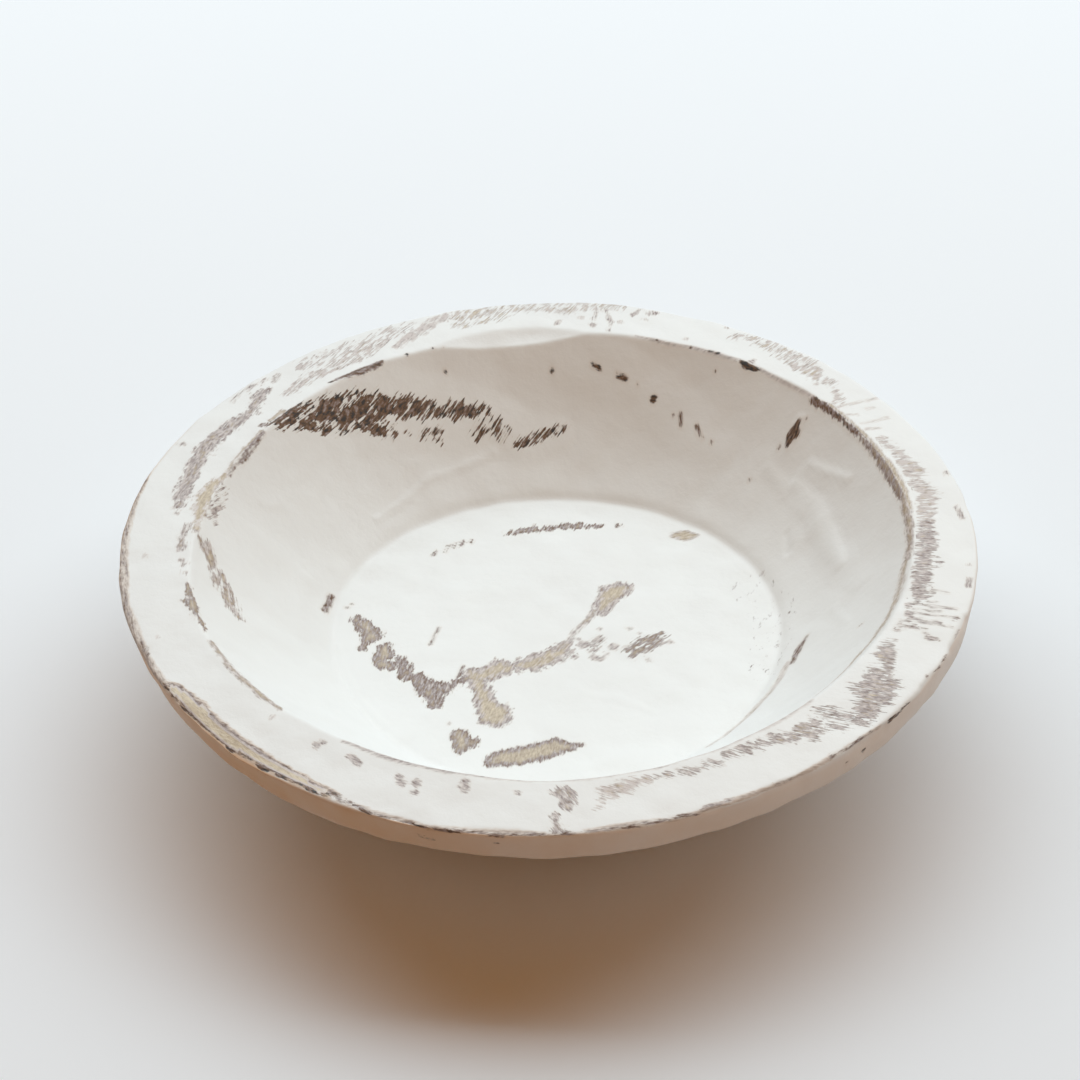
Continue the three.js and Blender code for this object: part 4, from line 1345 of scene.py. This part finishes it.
@dataclass
class Bowl:
    """The carved and painted bowl: its mesh, its wear and its finish."""

    form: BowlForm
    finish: RubbedPaint
    # side: the painted shade on the rim's side and outer wall
    side: PaintedSideShade
    name: str = "carved_bowl"
    upper_disc: float = 0.39
    lower_disc: float = 0.185
    disc_margin: float = 1.01
    fold_margin: float = 3.0

    def build(self) -> bpy.types.Object:
        """Makes the bowl, puts it in the CAD body's place and dresses it.

        Returns:
            The bowl's object.
        """
        floor, shell = self.form.floor_sheet(), self.form.shell_sheet()
        points = np.vstack([floor.points.reshape(-1, 3), shell.points.reshape(-1, 3),
                            self.pole(floor.points[0]), self.pole(shell.points[-1])])
        foot_plan = shell.plan[-1].mean(axis=0, keepdims=True)
        plan = np.vstack([floor.plan.reshape(-1, 2), shell.plan.reshape(-1, 2),
                          np.zeros((1, 2)), foot_plan])
        faces = self.faces(floor.points.shape[:2], shell.points.shape[:2])
        mesh = self.mesh(points, faces)
        wear = Wear.untouched(len(points))
        for rub in ALL_RUBS:
            wear.rub(plan, rub)
            log.debug("rubbed: %s", rub.place)
        # The rim's side and outer wall get their share of painted shade
        wear.side_shade = self.side.share(plan)
        self.dress(mesh, plan, points, wear)
        bowl = bpy.data.objects.new(self.name, mesh)
        bpy.context.scene.collection.objects.link(bowl)
        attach(bowl, "root")
        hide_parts("bowl_body")
        return bowl

    @staticmethod
    def pole(ring: Array) -> Array:
        """The middle of a ring, which closes the sheet there."""
        return ring.mean(axis=0, keepdims=True)

    @staticmethod
    def faces(floor: tuple[int, int], shell: tuple[int, int]) -> Array:
        """Corner numbers of all triangles and quads, a triangle's last corner being -1.

        The floor's rings have half as many points as the shell's, so where they meet three
        triangles join each edge of the floor's last ring to two edges of the shell's first.

        Args:
            floor: the floor sheet's counts of rings and columns.
            shell: the shell sheet's counts of rings and columns.

        Returns:
            Rows of four corner numbers.
        """
        def quads(first: int, rings: int, columns: int) -> Array:
            """The quads of a sheet whose points start at a number."""
            ring = np.arange(columns)
            start = first + np.arange(rings - 1)[:, None] * columns
            here, there = start + ring, start + np.roll(ring, -1)
            return np.stack([here, here + columns, there + columns, there], axis=-1).reshape(-1, 4)

        def triangles(*corners: Array) -> Array:
            """Triangles from three arrays of corner numbers."""
            return np.stack(np.broadcast_arrays(*corners, -1), axis=-1)

        second = floor[0] * floor[1]
        poles = second + shell[0] * shell[1]
        coarse = second - floor[1] + np.arange(floor[1])
        following = np.roll(coarse, -1)
        even = second + np.arange(0, shell[1], 2)
        odd = even + 1
        inner = np.arange(floor[1])
        last = poles - shell[1] + np.arange(shell[1])
        return np.vstack([
            quads(0, *floor), quads(second, *shell),
            triangles(coarse, even, odd), triangles(coarse, odd, following),
            triangles(following, odd, np.roll(even, -1)),
            triangles(poles, inner, np.roll(inner, -1)),
            triangles(last, poles + 1, np.roll(last, -1))])

    def mesh(self, points: Array, faces: Array) -> bpy.types.Mesh:
        """Puts points in millimetres and faces into a new mesh in metres.

        Args:
            points: rows of x, y and z.
            faces: rows of four corner numbers, a triangle's last being -1.

        Returns:
            The mesh, shaded smooth.
        """
        mesh = bpy.data.meshes.new(self.name)
        sizes = np.where(faces[:, 3] < 0, 3, 4)
        corners = faces[faces >= 0]
        mesh.vertices.add(len(points))
        mesh.vertices.foreach_set("co", (points * MM).ravel())
        mesh.loops.add(len(corners))
        mesh.loops.foreach_set("vertex_index", corners)
        mesh.polygons.add(len(faces))
        mesh.polygons.foreach_set("loop_start", np.concatenate([[0], np.cumsum(sizes)[:-1]]))
        mesh.polygons.foreach_set("use_smooth", np.ones(len(faces), dtype=bool))
        mesh.update(calc_edges=True)
        mesh.validate()
        return mesh

    def dress(self, mesh: bpy.types.Mesh, plan: Array, points: Array, wear: Wear) -> None:
        """Gives the mesh its finish, and the maps and attributes that the finish reads.

        Args:
            mesh: the bowl's mesh.
            plan: the folded-out plan of its points.
            points: its points in millimetres.
            wear: the wear at its points.
        """
        read = (("wear", wear.depth), ("ragged", wear.ragged), ("bare", wear.bare), ("stain", wear.stain),
                ("combed", wear.combed), ("thin", wear.thin), ("side_shade", wear.side_shade))
        for name, values in read:
            layer = mesh.attributes.new(name, "FLOAT", "POINT")
            layer.data.foreach_set("value", values.astype(np.float32))
        corners = np.empty(len(mesh.loops), dtype=np.int32)
        mesh.loops.foreach_get("vertex_index", corners)
        starts = np.empty(len(mesh.polygons), dtype=np.int32)
        mesh.polygons.foreach_get("loop_start", starts)
        face = np.repeat(np.arange(len(starts)), np.diff(np.append(starts, len(corners))))
        self.lay_bake_map(mesh, corners, face, starts, plan, points)
        self.lay_sanding_map(mesh, corners, face, starts, plan, wear)
        mesh.materials.append(self.finish.build())

    @staticmethod
    def lay_sanding_map(mesh: bpy.types.Mesh, corners: Array, face: Array, starts: Array, plan: Array,
                        wear: Wear) -> None:
        """A map in metres whose first axis runs along the streaks of the deepest rub on each face.

        Args:
            mesh: the bowl's mesh.
            corners: the point of each face corner.
            face: the face of each face corner.
            starts: the first corner of each face.
            plan: the folded-out plan of the points.
            wear: the wear at the points.
        """
        deepest = np.maximum.reduceat(wear.depth[corners], starts)
        leads = wear.depth[corners] >= deepest[face]
        grain = np.zeros(len(starts))
        grain[face[leads]] = np.radians(wear.grain[corners[leads]])
        turn = grain[face]
        x, y = plan[corners].T
        along = x * np.cos(turn) + y * np.sin(turn)
        across = y * np.cos(turn) - x * np.sin(turn)
        places = np.stack([along, across], axis=1) * MM
        layer = mesh.uv_layers.new(name="Sanding")
        layer.data.foreach_set("uv", places.astype(np.float32).ravel())

    def lay_bake_map(self, mesh: bpy.types.Mesh, corners: Array, face: Array, starts: Array, plan: Array,
                     points: Array) -> None:
        """A map of two discs: the upper side with the rim's side folded out, and the outside from below.

        The discs' radii are shares of the map, and a margin keeps each off the map's border.

        Args:
            mesh: the bowl's mesh.
            corners: the point of each face corner.
            face: the face of each face corner.
            starts: the first corner of each face.
            plan: the folded-out plan of the points.
            points: the points in millimetres.
        """
        fold = self.form.rim_radius + self.form.rim_side + self.fold_margin
        out = np.hypot(*plan[corners].T)
        is_upper = (np.maximum.reduceat(out, starts) < fold)[face]
        is_upper |= (np.maximum.reduceat(corners, starts) == len(points) - 2)[face]
        upper = self.upper_disc * (self.disc_margin + plan[corners] / fold)
        mirrored = points[corners, :2] * (1, -1) / self.form.rim_radius
        lower = 1 - self.lower_disc * (self.disc_margin + mirrored)
        places = np.where(is_upper[:, None], upper, lower)
        layer = mesh.uv_layers.new(name="OFBake")
        layer.data.foreach_set("uv", places.astype(np.float32).ravel())


@dataclass
class Studio:
    """A pale floor, a large soft lamp behind, two small lamps on the bowl alone, and the camera.

    The warm surround gives light, while a plain backdrop is seen in its place. The floor is seen
    paler than it throws light back. Places are in metres, and the camera's angles in radians.
    """

    lit_by_fill: bpy.types.Collection
    floor_colour: str = "#e6e8ea"
    floor_seen: str = "#fafbfc"
    floor_roughness: float = 0.6
    floor_size: float = 8.0
    lamp_power: float = 114.0
    lamp_width: float = 6.0
    lamp_height: float = 1.6
    lamp_place: tuple[float, float, float] = (0.2, 1.5, 2.1)
    lamp_colour: tuple[float, float, float] = (0.735, 0.905, 1.0)
    surround_colour: tuple[float, float, float, float] = (1.0, 0.425, 0.075, 1.0)
    surround_level: float = 0.22
    backdrop_colour: str = "#c6c9cc"
    fill_power: float = 2.6
    fill_width: float = 0.5
    fill_place: tuple[float, float, float] = (0.42, -0.25, 1.1)
    fill_colour: tuple[float, float, float] = (1.0, 0.965, 0.9)
    side_power: float = 0.9
    side_width: float = 0.45
    side_place: tuple[float, float, float] = (1.2, -0.5, 0.3)
    side_colour: tuple[float, float, float] = (0.86, 0.97, 1.0)
    eye: tuple[float, float, float] = (0.0009, -0.67951, 0.58835)
    elevation: float = 0.66364
    roll: float = -0.033436
    pan: float = 0.0035747
    tilt: float = -0.0028485
    sensor: float = 36.0
    lens: float = 86.667

    def build(self) -> None:
        """Sets up the floor, the light, the camera and the view."""
        self.lay_floor()
        self.light()
        self.aim_camera()
        bpy.context.scene.view_settings.view_transform = "Standard"

    def lay_floor(self) -> None:
        """A plain matt floor that the bowl stands on."""
        half = self.floor_size / 2
        mesh = bpy.data.meshes.new("studio_floor")
        corners = [(-half, -half, 0), (half, -half, 0), (half, half, 0), (-half, half, 0)]
        mesh.from_pydata(corners, [], [(0, 1, 2, 3)])
        material = bpy.data.materials.new("matt_pale_board")
        material.use_nodes = True
        tree = material.node_tree
        shader = tree.nodes["Principled BSDF"]
        colour = add_node(tree, "ShaderNodeMix", {
            0: self.seen_share(tree), 6: linear(self.floor_colour), 7: linear(self.floor_seen)}, 2,
            data_type="RGBA")
        tree.links.new(colour, shader.inputs["Base Color"])
        shader.inputs["Roughness"].default_value = self.floor_roughness
        mesh.materials.append(material)
        floor = bpy.data.objects.new("studio_floor", mesh)
        bpy.context.scene.collection.objects.link(floor)

    def light(self) -> None:
        """A large soft lamp behind, two small ones that only light the bowl, and a warm surround."""
        lamp = self.hang_lamp("soft_lamp", self.lamp_place, self.lamp_power, self.lamp_colour)
        lamp.data.shape = "RECTANGLE"
        lamp.data.size, lamp.data.size_y = self.lamp_width, self.lamp_height
        fill = self.hang_lamp("fill_lamp", self.fill_place, self.fill_power, self.fill_colour)
        side = self.hang_lamp("side_lamp", self.side_place, self.side_power, self.side_colour)
        for small, width in ((fill, self.fill_width), (side, self.side_width)):
            small.data.shape = "DISK"
            small.data.size = width
            small.light_linking.receiver_collection = self.lit_by_fill
        world = bpy.data.worlds.new("studio")
        world.use_nodes = True
        tree = world.node_tree
        surround = tree.nodes["Background"]
        surround.inputs["Color"].default_value = self.surround_colour
        surround.inputs["Strength"].default_value = self.surround_level
        seen = add_node(tree, "ShaderNodeBackground", {
            "Color": linear(self.backdrop_colour)}, "Background")
        both = add_node(tree, "ShaderNodeMixShader", {
            0: self.seen_share(tree), 1: surround.outputs[0], 2: seen}, "Shader")
        tree.links.new(both, tree.nodes["World Output"].inputs["Surface"])
        bpy.context.scene.world = world

    @staticmethod
    def seen_share(tree: Tree) -> Socket:
        """One for the rays by which a thing is seen, plainly, mirrored or through glass, else nought.

        Args:
            tree: the tree of the material or the world.

        Returns:
            The share's socket.
        """
        share = add_node(tree, "ShaderNodeLightPath", {}, "Is Camera Ray")
        for ray in ("Is Glossy Ray", "Is Transmission Ray"):
            other = add_node(tree, "ShaderNodeLightPath", {}, ray)
            share = add_node(tree, "ShaderNodeMath", {0: share, 1: other}, operation="MAXIMUM")
        return share

    @staticmethod
    def hang_lamp(name: str, place: tuple[float, float, float], power: float,
                  colour: tuple[float, float, float]) -> bpy.types.Object:
        """Hangs an area lamp that faces the part's origin.

        Args:
            name: the lamp's name.
            place: where it hangs, in metres.
            power: its power in watts.
            colour: its linear colour.

        Returns:
            The lamp, to be shaped further.
        """
        lamp = bpy.data.lights.new(name, "AREA")
        lamp.energy = power
        lamp.color = colour
        holder = bpy.data.objects.new(name, lamp)
        facing = Vector(place).to_track_quat("Z", "Y").to_matrix().to_4x4()
        holder.matrix_world = Matrix.Translation(place) @ facing
        bpy.context.scene.collection.objects.link(holder)
        return holder

    def aim_camera(self) -> None:
        """The camera: raised to its elevation, then panned, tilted and rolled a little."""
        camera = bpy.data.cameras.new("camera")
        camera.sensor_width = self.sensor
        camera.lens = self.lens
        holder = bpy.data.objects.new("camera", camera)
        raised = Matrix.Rotation(math.pi / 2 - self.elevation, 4, "X")
        turned = Matrix.Rotation(self.pan, 4, "Y") @ Matrix.Rotation(self.tilt, 4, "X")
        holder.matrix_world = (
            Matrix.Translation(self.eye) @ raised @ turned @ Matrix.Rotation(self.roll, 4, "Z"))
        bpy.context.scene.collection.objects.link(holder)
        bpy.context.scene.camera = holder


def main() -> None:
    """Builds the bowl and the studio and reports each."""
    logging.basicConfig(level=logging.INFO)
    bowl = Bowl(BowlForm(), RubbedPaint(), PaintedSideShade()).build()
    log.info("%s: %d faces", bowl.name, len(bowl.data.polygons))
    lit_by_fill = bpy.data.collections.new("lit_by_fill")
    lit_by_fill.objects.link(bowl)
    Studio(lit_by_fill).build()
    log.info("studio ready")


if __name__ == "__main__":
    main()
